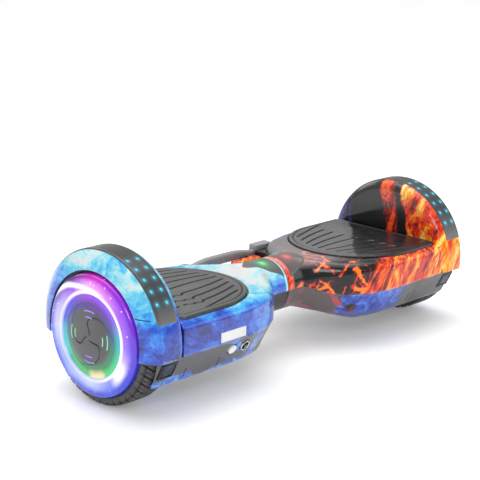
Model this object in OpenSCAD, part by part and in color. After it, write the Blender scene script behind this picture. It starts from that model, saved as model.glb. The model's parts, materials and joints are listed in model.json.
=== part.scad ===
// Self balancing board: two foot platforms that twist about a centre tube, each with a hub motor wheel.
// Origin: on the floor under the middle of the board. +X to the right wheel, -Y to the side with
// the headlamps, the power button and the charge port, +Z up. Sizes are in millimetres.

/* [Wheels] */
// Radius of the tyre at its tread
tyre_r = 82.5; // [80:0.5:84]
// Distance from the middle of the board to the middle of each tyre
wheel_x = 266.5; // [262:0.5:272]
// Width of the tyre
tyre_w = 40; // [36:1:40]
// Radius of the lit disc on the outer side of the wheel
light_ring_r = 70.5; // [68:0.5:71]
// Radius of the motor axle
axle_r = 8; // [6:0.5:9]
// Number of magnets in each hub motor
magnet_count = 30; // [20:2:36]
// Number of slots in each stator
stator_teeth = 27; // [18:3:36]

/* [Foot platforms] */
// Half of the widest width of a platform
body_half_w = 93; // [88:1:96]
// Height of the deck above the floor
deck_z = 110; // [106:1:112]
// Height of the underside above the floor
belly_z = 32; // [28:1:36]
// Height of the seam between the upper and the lower cover
seam_z = 70; // [66:1:72]
// Wall thickness of the plastic covers
wall = 3; // [2.5:0.5:3.5]
// Radius of the round inner end of a foot pad
pad_r = 84; // [78:1:84]
// Height that a foot pad stands above the deck
pad_rise = 2.5; // [1:0.5:3]

/* [Waist] */
// Outer radius of the round neck at the middle
neck_r = 34; // [33:0.5:36]
// Gap between the two halves at the middle
waist_gap = 1.5; // [1:0.5:3]
// Outer radius of the centre tube
tube_r = 14; // [12:0.5:15]

/* [Fender] */
// Outer radius of the fender about the axle
fender_r = 97; // [95:0.5:99]
// Lowest angle of the light strip above the axle
strip_low_a = 18; // [15:1:22]
// Angle of the lowest row of lights
light_row_a = 32; // [28:1:36]
// Angle between two rows of lights
light_step_a = 9.1; // [7:0.1:10]
// Number of rows of lights on the left fender
light_rows_left = 5; // [4:1:6]
// Number of rows of lights on the right fender
light_rows_right = 6; // [4:1:6]

/* [Carry strap] */
// Distance from the middle of the board to the inner face of each strap block
block_x = 56; // [52:1:60]
// Height of the top of the strap
strap_top_z = 104; // [102:1:106]

/* [Hidden] */
$fn = 96;
eps = 0.01;
big = 400;
axle_z = tyre_r;
half_gap = waist_gap / 2;

// Wheel stations along X
tyre_in_x = wheel_x - tyre_w / 2;
tyre_out_x = wheel_x + tyre_w / 2;
well_x = tyre_in_x - 3.5;
rim_in_x = tyre_in_x + 3.5;
rim_out_x = tyre_out_x - 3;
rim_r = 66;
rim_flange = 2;
rim_flange_w = 2.5;
rim_wall = 4;
drum_r = 60;
bearing_r = 14;
bearing_w = 7;
axle_in_x = 205;
axle_out_x = rim_out_x - 1;
ring_edge_x = rim_out_x + 7.5;
ring_crest_x = rim_out_x + 10.5;
magnet_t = 2.5;
air_gap = 0.8;
stator_r = drum_r - magnet_t - air_gap;
stator_hub_r = 24;
stator_x0 = rim_in_x + 10;
stator_w = 15;
stator_yoke = 4;
stator_slot_w = 5;
hub_r = 38;
hub_top_x = rim_out_x + 14.5;

// Fender stations along X
band_in_x = 252;
band_out_x = 281;
lip_r = 74;
lip_x = 291;
fender_wall_x = well_x - wall;
strip_in_x = 250;
strip_out_x = 280;
strip_depth = 1.6;
light_in_x = 258;
light_out_x = 272.5;
light_r = 1.8;
well_r = tyre_r + 3;

// Platform body: stations along X, each with its half width and the height of its lowest ball
edge_r = 12;
seam_edge_r = 4;
stations = [[52, 54, 56], [72, 71, 50], [98, 85, belly_z + 12], [140, body_half_w, belly_z + 12],
            [268, body_half_w, belly_z + 12]];
side_step = 26;

// Front and rear lower faces lean inwards: their slope follows from the balls at the seam and below
low_ball = [body_half_w - side_step, belly_z + edge_r];
seam_ball = [body_half_w - seam_edge_r, seam_z + 1];
ball_d = seam_ball - low_ball;
face_tilt = atan2(ball_d[0], ball_d[1]) - asin((edge_r - seam_edge_r) / norm(ball_d));
function face_y(z) = seam_ball[0] + seam_edge_r * cos(face_tilt)
    - (seam_ball[1] - seam_edge_r * sin(face_tilt) - z) * tan(face_tilt);

// Neck
neck_len = 30;
neck_end_x = 75;
neck_end_r = 25;
seam_bend_x = 35;
window_t = 1.2;
window_len = 44;
window_half_w = 24;
led_x = 23;
led_r = 3;
led_h = 3.2;

// Foot pad
pad_cx = 164;
pad_end_x = fender_wall_x - 4;
pad_t = 7;
pad_gap = 0.8;
pocket_z = deck_z - 6.5;
plunger_r = 5;
plunger_len = 13;
plunger_xs = [140, 172];
plunger_y = 26;

// Chassis
floor_z = 44;
floor_t = 4;
tray_lip_t = 3;
tray_lip_h = 18;
tray_z = floor_z + floor_t;
tray_x0 = 82;
tray_x1 = 235;
tray_half_w = 50;
boss_r = 22;
boss_x0 = 20;
boss_x1 = 60;
bush_r = 17;
ring_r = 19;
ring_t = 3.6;
ring_gap = 0.4;
web_half_w = 18;
web_h = 34;
tube_clearance = 0.05;
tube_t = 3.5;
tube_end_x = boss_x1 + 8;
cradle_x0 = 206;
cradle_half_w = 22;
clamp_h = 14;
clamp_bolt_r = 3;
clamp_bolt_depth = 20;
bolt_head_r = 5;
bolt_head_h = 4;
clamp_bolt_y = 15;
clamp_bolt_xs = [212, 228];
screw_xs = [100, 160, 222];
screw_y = 42;
screw_r = 1.6;
screw_head_r = 3.4;
recess_r = 4.4;
recess_h = 4;
pillar_r = 6;
screw_head_h = 2.5;
post_xs = [120, 190];
post_y = 43;
post_r = 2.5;
board_z = 84;
board_t = 1.6;
board_half_w = 47;
board_over = 8;
sensor_half_l = 6;
sensor_half_w = 4;
sensor_h = 6;

// Main board, its capacitors and its driver block
main_x = [94, 196];
main_half_w = 34;
main_t = 4;
capacitor_x = 180;
capacitor_pitch = 22;
capacitor_count = 4;
capacitor_y = 18;
capacitor_r = 7;
capacitor_h = 19;
driver_low = [-186, -26];
driver_high = [-110, -4];
driver_h = 12;
battery_x = [92, 200];
battery_half_w = 37;
battery_h = 31;

// Front fittings
button_x = 157;
button_z = 56;
button_r = 6.5;
port_x = 136;
port_r = 6.8;
lamp_x = 259;
lamp_z = 57;
lamp_w = 24;
lamp_h = 20;
lamp_t = 3;
lamp_frame = 3;
lens_z = -1.5;
label_x0 = 142;
label_x1 = 183;
label_z0 = seam_z + 2;
speaker_x = 118;
speaker_z = 54;
speaker_r = 15;
speaker_depth = 15;
grille_t = 2.4;
grille_pitch = 3.8;
grille_slot_w = 1.8;
grille_rim = 4;
button_h = 6;
port_depth = 13;
port_wall = 1.4;
pin_r = 0.8;
pin_ring_r = 2.4;
label_h = 12;
label_t = 0.5;

// Carry strap
block_w = 32;
block_y0 = 77;
block_t = 14;
block_h = 22;
block_z0 = strap_top_z - 20;
strap_y0 = 79;
strap_t = 10;
strap_h = 13;
strap_kink_x = 31;
arm_y0 = 62;
arm_z0 = 82;
arm_h = 9;
arm_x0 = 8;
strap_tail = 20;
block_floor = 3;
boss_depth = 14;

// ---- Helpers ----

// Mirrors a right hand part to the left side
module on_side(side) {
    mirror([side < 0 ? 1 : 0, 0, 0]) children();
}

// Turns a solid of revolution so that its axis is the axle, with profile points as [radius, x]
module about_axle(angle = 360) {
    translate([0, 0, axle_z]) rotate([90, 0, 90]) rotate_extrude(angle = angle) children();
}

// A rod along X
module rod_x(x0, x1, r) {
    translate([x0, 0, axle_z]) rotate([0, 90, 0]) cylinder(r = r, h = x1 - x0);
}

// Places children on the leaning front face, with their own Z pointing out of it
module on_front_face(x, z) {
    translate([x, -face_y(z), z]) rotate([90 + face_tilt, 0, 0]) children();
}

// The same on the rear face
module on_rear_face(x, z) {
    mirror([0, 1, 0]) on_front_face(x, z) children();
}

// A block between two corners
module block(low, high) {
    translate(low) cube(high - low);
}

// A plate of w by h about the local Z axis, t thick above z
module centred_plate(w, h, z, t) {
    translate([-w / 2, -h / 2, z]) cube([w, h, t]);
}

function arc_points(c, r, a0, a1, n) = [
    for (i = [0:n]) let (a = a0 + (a1 - a0) * i / n) c + r * [cos(a), sin(a)]
];

// ---- Body shapes ----

// Closed hull of one foot platform, drawn smaller by inset all round
module platform(inset) {
    hull() {
        for (s = stations) {
            for (m = [-1, 1]) {
                translate([s[0], m * (s[1] - edge_r), deck_z - edge_r]) sphere(r = edge_r - inset, $fn = 28);
                translate([s[0], m * (s[1] - seam_edge_r), seam_z + 1])
                    sphere(r = seam_edge_r - inset, $fn = 16);
                translate([s[0], m * (s[1] - side_step), s[2]]) sphere(r = edge_r - inset, $fn = 28);
            }
        }
    }
}

// Space above the seam between the covers, which climbs to the axle at the neck
module above_seam() {
    translate([0, big, 0]) rotate([90, 0, 0]) linear_extrude(height = 2 * big)
        polygon([
            [-1, axle_z], [seam_bend_x, axle_z], [neck_end_x, seam_z],
            [big, seam_z], [big, big], [-1, big]
        ]);
}

// Round neck around the centre tube, drawn smaller by inset
module neck(inset) {
    start_x = half_gap + inset;
    about_axle() polygon([
        [0, start_x], [neck_r - inset, start_x], [neck_r - inset, neck_len],
        [neck_end_r - inset, neck_end_x], [0, neck_end_x]
    ]);
}

// Section of the fender shell as [radius, x]
function fender_outer() = concat(
    [[0, fender_wall_x]],
    arc_points([fender_r - 13, band_in_x + 1], 13, 270, 360, 6),
    arc_points([fender_r - 3, band_out_x - 3], 3, 0, 60, 3),
    [[lip_r, lip_x]]
);
function fender_inner() = concat(
    [[lip_r, lip_x - 2.5]],
    arc_points([fender_r - wall - 2, band_out_x - 4], 2, 60, 0, 2),
    arc_points([fender_r - wall - 10, band_in_x + 1], 10, 360, 270, 6),
    [[0, well_x]]
);

module fender_shell() {
    intersection() {
        about_axle() polygon(concat(fender_outer(), fender_inner()));
        block([0, -big, seam_z], [big, big, big]);
    }
}

// Space that the wheel turns in
module wheel_well() {
    rod_x(well_x, big, well_r);
}

// Plan shape of the foot pad, larger by grow all round
module pad_plan(grow) {
    intersection() {
        union() {
            translate([pad_cx, 0]) circle(r = pad_r + grow, $fn = 128);
            translate([pad_cx, -pad_r - grow]) square([big, 2 * (pad_r + grow)]);
        }
        translate([0, -big]) square([pad_end_x + grow, 2 * big]);
    }
}

module pad_space(grow, z0, z1) {
    translate([0, 0, z0]) linear_extrude(height = z1 - z0) pad_plan(grow);
}

// Rear boss of the upper cover that carries the strap block
module strap_boss() {
    block([block_x, arm_y0 - boss_depth, arm_z0], [block_x + block_w, block_y0, block_z0 + block_h - 4]);
    block([arm_x0, arm_y0, arm_z0], [block_x + 1, block_y0 - 3, arm_z0 + arm_h]);
}

module window_skin(low, high) {
    intersection() {
        about_axle() polygon([
            [neck_r + low, half_gap + 3], [neck_r + high, half_gap + 3], [neck_r + high, neck_len],
            [neck_end_r + high, neck_end_x], [neck_end_r + low, neck_end_x], [neck_r + low, neck_len]
        ]);
        translate([0, -4, axle_z]) linear_extrude(height = 2 * neck_r)
            scale([window_len, window_half_w]) circle(r = 1);
    }
}

// ---- Covers ----

module upper_cover(side) {
    color(side < 0 ? "deepskyblue" : "orangered") difference() {
        union() {
            intersection() {
                union() {
                    platform(0);
                    neck(0);
                }
                above_seam();
                block([0, -big, 0], [fender_wall_x + 1, big, big]);
            }
            fender_shell();
            strap_boss();
        }
        difference() {
            intersection() {
                union() {
                    platform(wall);
                    neck(wall);
                }
                block([0, -big, 0], [fender_wall_x - 1, big, big]);
            }
            pad_space(pad_gap + 2, pocket_z - 2.5, deck_z);
        }
        pad_space(pad_gap, pocket_z, big);
        for (x = plunger_xs) {
            for (m = [-1, 1]) {
                translate([x, m * plunger_y, pocket_z - 10]) cylinder(r = plunger_r + 1, h = 20);
            }
        }
        rod_x(0, 20, tube_r + 4);
        rod_x(fender_wall_x - 5, well_x + 1, axle_r + 5);
        block([fender_wall_x - 5, -axle_r - 5, 0], [well_x + 1, axle_r + 5, axle_z]);
        strip_band(0);
        window_skin(-window_t, 5);
        translate([led_x, 0, axle_z]) cylinder(r = led_r, h = neck_r);
    }
}

module lower_cover(side) {
    color("dimgray") difference() {
        union() {
            difference() {
                union() {
                    platform(0);
                    neck(0);
                }
                above_seam();
                intersection() {
                    union() {
                        platform(wall);
                        neck(wall);
                    }
                    block([0, -big, 0], [fender_wall_x, big, big]);
                }
            }
            for (x = screw_xs) {
                for (m = [-1, 1]) {
                    translate([x, m * screw_y, belly_z + 1])
                        cylinder(r = pillar_r, h = floor_z - belly_z - 1);
                }
            }
        }
        wheel_well();
        rod_x(0, 20, tube_r + 4);
        block([fender_wall_x - 5, -axle_r - 5, seam_z - 8], [well_x + 1, axle_r + 5, axle_z]);
        for (x = screw_xs) {
            for (m = [-1, 1]) {
                translate([x, m * screw_y, 0]) {
                    cylinder(r = screw_r, h = floor_z + 1);
                    cylinder(r = recess_r, h = belly_z + recess_h);
                }
            }
        }
        on_front_face(lamp_x, lamp_z) centred_plate(lamp_w, lamp_h, 0.5 - lamp_t, 10);
        if (side < 0) {
            on_front_face(button_x, button_z) translate([0, 0, -12]) cylinder(r = button_r + 0.3, h = 20);
            on_front_face(port_x, button_z) translate([0, 0, -14]) cylinder(r = port_r, h = 20);
        }
        if (side > 0) {
            on_rear_face(speaker_x, speaker_z) translate([0, 0, -12]) cylinder(r = speaker_r, h = 24);
        }
    }
}

// ---- Foot pads ----

module foot_pad() {
    color("gray") pad_space(0, deck_z + pad_rise - pad_t, deck_z + pad_rise);
}

module pad_plungers() {
    color("black") for (x = plunger_xs) {
        for (m = [-1, 1]) {
            translate([x, m * plunger_y, deck_z + pad_rise - pad_t - plunger_len])
                cylinder(r = plunger_r, h = plunger_len);
        }
    }
}

// ---- Lights ----

// Curved band in the fender, sunk to strip_depth and proud by rise
module strip_band(rise) {
    translate([0, 0, axle_z]) rotate([90, 0, 90]) rotate([0, 0, strip_low_a])
        rotate_extrude(angle = 180 - 2 * strip_low_a)
            polygon([
                [fender_r - strip_depth, strip_in_x], [fender_r + rise, strip_in_x],
                [fender_r + rise, strip_out_x], [fender_r - strip_depth, strip_out_x]
            ]);
}

module light_posts(side, r0, r1) {
    rows = side < 0 ? light_rows_left : light_rows_right;
    for (i = [0:rows - 1]) {
        for (x = [light_in_x, light_out_x]) {
            translate([x, 0, axle_z]) rotate([90 - light_row_a - i * light_step_a, 0, 0])
                translate([0, 0, r0]) cylinder(r = light_r, h = r1 - r0, $fn = 32);
        }
    }
}

module fender_strip(side) {
    color("darkslategray") difference() {
        strip_band(0.3);
        light_posts(side, fender_r - 5, fender_r + 5);
    }
}

module fender_lights(side) {
    color("cyan") light_posts(side, fender_r - strip_depth, fender_r + 0.7);
}

module headlamp_bezel() {
    color("black") on_front_face(lamp_x, lamp_z) difference() {
        centred_plate(lamp_w, lamp_h, 0.5 - lamp_t, lamp_t);
        centred_plate(lamp_w - 2 * lamp_frame, lamp_h - 2 * lamp_frame, lens_z, lamp_t);
    }
}

module headlamp_lens() {
    color("midnightblue") on_front_face(lamp_x, lamp_z)
        centred_plate(lamp_w - 2 * lamp_frame, lamp_h - 2 * lamp_frame, lens_z, 2.3);
}

module indicator_window() {
    color("darkslategray") window_skin(-window_t, 0.3);
}

module indicator_led(side) {
    color(side < 0 ? "lime" : "red")
        translate([led_x, 0, axle_z + neck_r - window_t - led_h - 0.3]) cylinder(r = led_r, h = led_h);
}

// ---- Frame ----

module chassis(side) {
    bore = side < 0 ? tube_r : bush_r;
    color("silver") difference() {
        union() {
            block([tray_x0, -tray_half_w, floor_z], [tray_x1, tray_half_w, floor_z + floor_t]);
            for (m = [-1, 1]) {
                translate([tray_x0, m * (tray_half_w - tray_lip_t / 2) - tray_lip_t / 2, floor_z])
                    cube([tray_x1 - tray_x0, tray_lip_t, tray_lip_h]);
            }
            rod_x(boss_x0, boss_x1, boss_r);
            block([boss_x0 + 20, -10, floor_z + 14], [boss_x1, 10, axle_z - 10]);
            block([boss_x1 - 5, -web_half_w, floor_z + 6], [tray_x0 + 2, web_half_w, floor_z + web_h]);
            block([tray_x0 - 1, -web_half_w, floor_z], [tray_x0 + floor_t, web_half_w, floor_z + web_h]);
            block([cradle_x0, -cradle_half_w, floor_z], [tray_x1, cradle_half_w, axle_z]);
            for (x = post_xs) {
                for (m = [-1, 1]) {
                    translate([x, m * post_y, floor_z + 1]) cylinder(r = post_r, h = board_z - floor_z - 1);
                }
            }
        }
        rod_x(boss_x0 - 1, boss_x1 + 1, bore);
        rod_x(boss_x1, tray_x0 + 3, ring_r + 2);
        rod_x(cradle_x0 - 1, tray_x1 + 1, axle_r);
        for (x = screw_xs) {
            for (m = [-1, 1]) {
                translate([x, m * screw_y, floor_z - 1]) cylinder(r = screw_r, h = floor_t + 2);
            }
        }
        for (x = clamp_bolt_xs) {
            for (m = [-1, 1]) {
                translate([x, m * clamp_bolt_y, axle_z - clamp_bolt_depth])
                    cylinder(r = clamp_bolt_r, h = big);
            }
        }
    }
}

module axle_clamp() {
    color("silver") difference() {
        block([cradle_x0, -cradle_half_w, axle_z], [tray_x1 - 5, cradle_half_w, axle_z + clamp_h]);
        rod_x(cradle_x0 - 1, tray_x1, axle_r);
        for (x = clamp_bolt_xs) {
            for (m = [-1, 1]) {
                translate([x, m * clamp_bolt_y, axle_z - 1]) cylinder(r = clamp_bolt_r, h = big);
            }
        }
    }
}

module clamp_bolts() {
    color("gray") for (x = clamp_bolt_xs) {
        for (m = [-1, 1]) {
            translate([x, m * clamp_bolt_y, axle_z - clamp_bolt_depth])
                cylinder(r = clamp_bolt_r, h = clamp_bolt_depth + clamp_h);
            translate([x, m * clamp_bolt_y, axle_z + clamp_h]) cylinder(r = bolt_head_r, h = bolt_head_h);
        }
    }
}

module cover_screws() {
    color("gray") for (x = screw_xs) {
        for (m = [-1, 1]) {
            translate([x, m * screw_y, belly_z + recess_h]) {
                translate([0, 0, -screw_head_h]) cylinder(r = screw_head_r, h = screw_head_h);
                cylinder(r = screw_r, h = floor_z + floor_t - belly_z - recess_h);
            }
        }
    }
}

// ---- Hub motor and wheel ----

module motor_axle() {
    color("lightgray") rod_x(axle_in_x, axle_out_x, axle_r);
}

module stator() {
    color("peru") translate([stator_x0, 0, axle_z]) rotate([0, 90, 0]) difference() {
        cylinder(r = stator_r, h = stator_w);
        translate([0, 0, -1]) cylinder(r = axle_r, h = stator_w + 2);
        for (i = [0:stator_teeth - 1]) {
            rotate(i * 360 / stator_teeth) translate([stator_hub_r + stator_yoke, -stator_slot_w / 2, -1])
                cube([stator_r - stator_hub_r - 2 * stator_yoke, stator_slot_w, stator_w + 2]);
        }
    }
}

module wheel_rim() {
    color("dimgray") about_axle() polygon([
        [bearing_r, rim_in_x], [rim_r + rim_flange, rim_in_x],
        [rim_r + rim_flange, rim_in_x + rim_flange_w], [rim_r, rim_in_x + rim_wall],
        [rim_r, rim_out_x - rim_wall], [rim_r + rim_flange, rim_out_x - rim_flange_w],
        [rim_r + rim_flange, rim_out_x], [bearing_r, rim_out_x],
        [bearing_r, rim_out_x - bearing_w], [bearing_r + rim_wall, rim_out_x - bearing_w],
        [bearing_r + rim_wall, rim_out_x - rim_wall], [drum_r, rim_out_x - rim_wall],
        [drum_r, rim_in_x + rim_wall], [bearing_r + rim_wall, rim_in_x + rim_wall],
        [bearing_r + rim_wall, rim_in_x + bearing_w], [bearing_r, rim_in_x + bearing_w]
    ]);
}

module magnets() {
    pitch = 360 / magnet_count;
    color("slategray") translate([stator_x0 - 1, 0, axle_z]) rotate([0, 90, 0])
        for (i = [0:magnet_count - 1]) {
            rotate(i * pitch) rotate_extrude(angle = pitch * 0.8)
                translate([drum_r - magnet_t, 0]) square([magnet_t, stator_w + 2]);
        }
}

module wheel_bearings() {
    color("lightgray") for (x = [rim_in_x, rim_out_x - bearing_w]) {
        about_axle() translate([axle_r + tube_clearance, x])
            square([bearing_r - axle_r - tube_clearance, bearing_w]);
    }
}

module tyre() {
    bead_r = rim_r + rim_flange;
    corner_r = 5;
    corner_x = 5.8;
    color([0.12, 0.12, 0.12]) about_axle() polygon(concat(
        [[bead_r, rim_in_x + rim_flange_w], [bead_r, rim_in_x - 1]],
        [[tyre_r - 9, tyre_in_x], [tyre_r - corner_r, tyre_in_x + 0.8]],
        arc_points([tyre_r - corner_r, tyre_in_x + corner_x], corner_r, 290, 360, 4),
        arc_points([tyre_r - corner_r, tyre_out_x - corner_x], corner_r, 0, 70, 4),
        [[light_ring_r + 1, tyre_out_x], [light_ring_r + 0.5, rim_out_x + 0.2]],
        [[bead_r, rim_out_x], [bead_r, rim_out_x - rim_flange_w]],
        [[rim_r, rim_out_x - rim_wall], [rim_r, rim_in_x + rim_wall]]
    ));
}

module light_ring() {
    color("blueviolet") about_axle() polygon([
        [hub_r, rim_out_x], [light_ring_r, rim_out_x + 0.2], [light_ring_r, ring_edge_x],
        [light_ring_r - 4, ring_crest_x - 0.5], [light_ring_r - 9, ring_crest_x],
        [hub_r + 11, ring_crest_x - 1],
        [hub_r + 10, ring_crest_x + 0.5], [hub_r, ring_crest_x + 1.5]
    ]);
}

module hub_cover() {
    color("darkslategray") about_axle() polygon([
        [0, rim_out_x], [hub_r, rim_out_x], [hub_r, ring_crest_x + 1.5], [hub_r - 4, hub_top_x - 1.2],
        [hub_r / 2, hub_top_x - 0.2], [0, hub_top_x]
    ]);
}

// ---- Electrics ----

module gyro_board() {
    color("green") {
        block([post_xs[0] - board_over, -board_half_w, board_z],
              [post_xs[1] + board_over, board_half_w, board_z + board_t]);
        for (x = plunger_xs) {
            for (m = [-1, 1]) {
                block([x - sensor_half_l, m * plunger_y - sensor_half_w, board_z + board_t - eps],
                      [x + sensor_half_l, m * plunger_y + sensor_half_w, board_z + sensor_h]);
            }
        }
    }
}

module main_board() {
    color("green") {
        block([-main_x[1], -main_half_w, tray_z], [-main_x[0], main_half_w, tray_z + main_t]);
        for (i = [0:capacitor_count - 1]) {
            translate([capacitor_pitch * i - capacitor_x, capacitor_y, tray_z + main_t - 1])
                cylinder(r = capacitor_r, h = capacitor_h);
        }
        block(concat(driver_low, [tray_z + main_t - 1]), concat(driver_high, [tray_z + driver_h]));
    }
}

module battery_pack() {
    color("royalblue") block([battery_x[0], -battery_half_w, tray_z],
                              [battery_x[1], battery_half_w, tray_z + battery_h]);
}

module speaker() {
    color("black") on_rear_face(speaker_x, speaker_z) {
        translate([0, 0, -speaker_depth]) cylinder(r1 = speaker_r / 2, r2 = speaker_r - 0.1, h = 8);
        translate([0, 0, -speaker_depth + 7.8]) cylinder(r = speaker_r - 0.1, h = 4);
    }
}

module speaker_grille() {
    color("black") on_rear_face(speaker_x, speaker_z) difference() {
        translate([0, 0, -grille_t - 0.2]) cylinder(r = speaker_r - 0.1, h = grille_t);
        for (i = [-3:3]) {
            slot_l = 2 * (speaker_r - grille_rim - abs(i) * 1.4);
            translate([i * grille_pitch, 0, 0])
                centred_plate(grille_slot_w, slot_l, -2 * grille_t, 3 * grille_t);
        }
    }
}

module power_button() {
    color("white") on_side(-1) on_front_face(button_x, button_z)
        translate([0, 0, 1 - button_h]) cylinder(r = button_r, h = button_h);
}

module charge_port() {
    color("silver") on_side(-1) on_front_face(port_x, button_z) {
        difference() {
            translate([0, 0, -port_depth]) cylinder(r = port_r, h = port_depth + 1);
            translate([0, 0, port_wall * 3 - port_depth]) cylinder(r = port_r - port_wall, h = port_depth);
        }
        for (a = [90, 210, 330]) {
            rotate(a) translate([pin_ring_r, 0, 3 - port_depth]) cylinder(r = pin_r, h = 5, $fn = 24);
        }
    }
}

module label_plate() {
    color("white") block([-label_x1, -body_half_w - label_t, label_z0],
                         [-label_x0, -body_half_w, label_z0 + label_h]);
}

// ---- Centre pivot ----

module pivot_tube() {
    color("lightgray") difference() {
        rod_x(-boss_x1, tube_end_x, tube_r);
        rod_x(-boss_x1 - 1, tube_end_x + 1, tube_r - tube_t);
    }
}

module pivot_bush() {
    color("goldenrod") difference() {
        rod_x(boss_x0, boss_x1, bush_r);
        rod_x(boss_x0 - 1, boss_x1 + 1, tube_r + tube_clearance);
    }
}

module retaining_ring() {
    color("gray") difference() {
        rod_x(boss_x1 + ring_gap, boss_x1 + ring_gap + ring_t, ring_r);
        rod_x(boss_x1, boss_x1 + 2 * ring_t, tube_r);
    }
}

// ---- Carry strap ----

module strap_block() {
    color("dimgray") difference() {
        block([block_x, block_y0, block_z0], [block_x + block_w, block_y0 + block_t, block_z0 + block_h]);
        block([block_x - 1, strap_y0, block_z0 + block_floor],
              [block_x + strap_tail, strap_y0 + strap_t, block_z0 + block_floor + strap_h]);
        platform(-0.2);
    }
}

module carry_strap() {
    tail_x = block_x + strap_tail;
    end_top = block_z0 + block_floor + strap_h;
    end_low = end_top - strap_h;
    grip_low = strap_top_z - strap_h;
    color("dimgray") translate([0, strap_y0 + strap_t, 0]) rotate([90, 0, 0]) linear_extrude(height = strap_t)
        polygon([
            [-tail_x, end_top], [-block_x, end_top],
            [-strap_kink_x, strap_top_z], [strap_kink_x, strap_top_z],
            [block_x, end_top], [tail_x, end_top], [tail_x, end_low], [block_x, end_low],
            [strap_kink_x, grip_low], [-strap_kink_x, grip_low], [-block_x, end_low], [-tail_x, end_low]
        ]);
}

// ---- Nodes ----

on_side(-1) upper_cover(-1);  // upper_cover_left
on_side(1) upper_cover(1);  // upper_cover_right
on_side(-1) lower_cover(-1);  // lower_cover_left
on_side(1) lower_cover(1);  // lower_cover_right
on_side(-1) foot_pad();  // foot_pad_left
on_side(1) foot_pad();  // foot_pad_right
on_side(-1) pad_plungers();  // pad_plungers_left
on_side(1) pad_plungers();  // pad_plungers_right
on_side(-1) fender_strip(-1);  // fender_strip_left
on_side(1) fender_strip(1);  // fender_strip_right
on_side(-1) fender_lights(-1);  // fender_lights_left
on_side(1) fender_lights(1);  // fender_lights_right
on_side(-1) headlamp_bezel();  // headlamp_bezel_left
on_side(1) headlamp_bezel();  // headlamp_bezel_right
on_side(-1) headlamp_lens();  // headlamp_lens_left
on_side(1) headlamp_lens();  // headlamp_lens_right
on_side(-1) indicator_window();  // indicator_window_left
on_side(1) indicator_window();  // indicator_window_right
on_side(-1) indicator_led(-1);  // indicator_led_left
on_side(1) indicator_led(1);  // indicator_led_right
on_side(-1) chassis(-1);  // chassis_left
on_side(1) chassis(1);  // chassis_right
on_side(-1) axle_clamp();  // axle_clamp_left
on_side(1) axle_clamp();  // axle_clamp_right
on_side(-1) clamp_bolts();  // clamp_bolts_left
on_side(1) clamp_bolts();  // clamp_bolts_right
on_side(-1) motor_axle();  // motor_axle_left
on_side(1) motor_axle();  // motor_axle_right
on_side(-1) stator();  // stator_left
on_side(1) stator();  // stator_right
on_side(-1) wheel_rim();  // wheel_rim_left
on_side(1) wheel_rim();  // wheel_rim_right
on_side(-1) magnets();  // magnets_left
on_side(1) magnets();  // magnets_right
on_side(-1) wheel_bearings();  // wheel_bearings_left
on_side(1) wheel_bearings();  // wheel_bearings_right
on_side(-1) tyre();  // tyre_left
on_side(1) tyre();  // tyre_right
on_side(-1) hub_cover();  // hub_cover_left
on_side(1) hub_cover();  // hub_cover_right
on_side(-1) light_ring();  // light_ring_left
on_side(1) light_ring();  // light_ring_right
on_side(-1) gyro_board();  // gyro_board_left
on_side(1) gyro_board();  // gyro_board_right
on_side(-1) cover_screws();  // cover_screws_left
on_side(1) cover_screws();  // cover_screws_right
on_side(-1) strap_block();  // strap_block_left
on_side(1) strap_block();  // strap_block_right
pivot_tube();
pivot_bush();
retaining_ring();
main_board();
battery_pack();
speaker();
speaker_grille();
power_button();
charge_port();
label_plate();
carry_strap();
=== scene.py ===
"""Self balancing board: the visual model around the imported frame, with its floor, lights and camera."""
import json
import math
import bmesh
import bpy
import numpy as np
from mathutils import Matrix, Vector


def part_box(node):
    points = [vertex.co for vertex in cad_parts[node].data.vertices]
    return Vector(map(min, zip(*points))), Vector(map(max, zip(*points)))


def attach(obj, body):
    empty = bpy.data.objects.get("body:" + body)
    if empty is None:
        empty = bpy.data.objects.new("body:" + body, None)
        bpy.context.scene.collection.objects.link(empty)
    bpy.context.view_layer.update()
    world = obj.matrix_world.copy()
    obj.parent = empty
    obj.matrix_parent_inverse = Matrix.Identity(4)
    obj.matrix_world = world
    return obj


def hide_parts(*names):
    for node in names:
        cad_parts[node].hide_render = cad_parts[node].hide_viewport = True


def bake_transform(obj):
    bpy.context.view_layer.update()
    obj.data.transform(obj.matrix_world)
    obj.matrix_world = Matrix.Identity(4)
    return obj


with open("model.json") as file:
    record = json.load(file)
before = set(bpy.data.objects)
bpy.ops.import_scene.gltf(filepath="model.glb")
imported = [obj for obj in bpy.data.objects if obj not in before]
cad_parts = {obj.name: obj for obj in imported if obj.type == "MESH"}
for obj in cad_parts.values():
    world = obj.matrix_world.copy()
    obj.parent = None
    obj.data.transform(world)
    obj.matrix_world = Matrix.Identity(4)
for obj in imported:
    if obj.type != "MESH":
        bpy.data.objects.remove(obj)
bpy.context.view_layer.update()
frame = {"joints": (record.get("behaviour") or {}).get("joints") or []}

SIDES = {-1: "left", 1: "right"}
MM = 0.001


# ---------------------------------------------------------------------------
# Driving dimensions, in millimetres, read from the frame
# ---------------------------------------------------------------------------
def box_mm(node):
    """Lowest and highest corner of a CAD node, in millimetres."""
    low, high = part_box(node)
    return np.array(low) / MM, np.array(high) / MM


def joint(name):
    return next(j for j in frame["joints"] if j["name"] == name)


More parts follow.
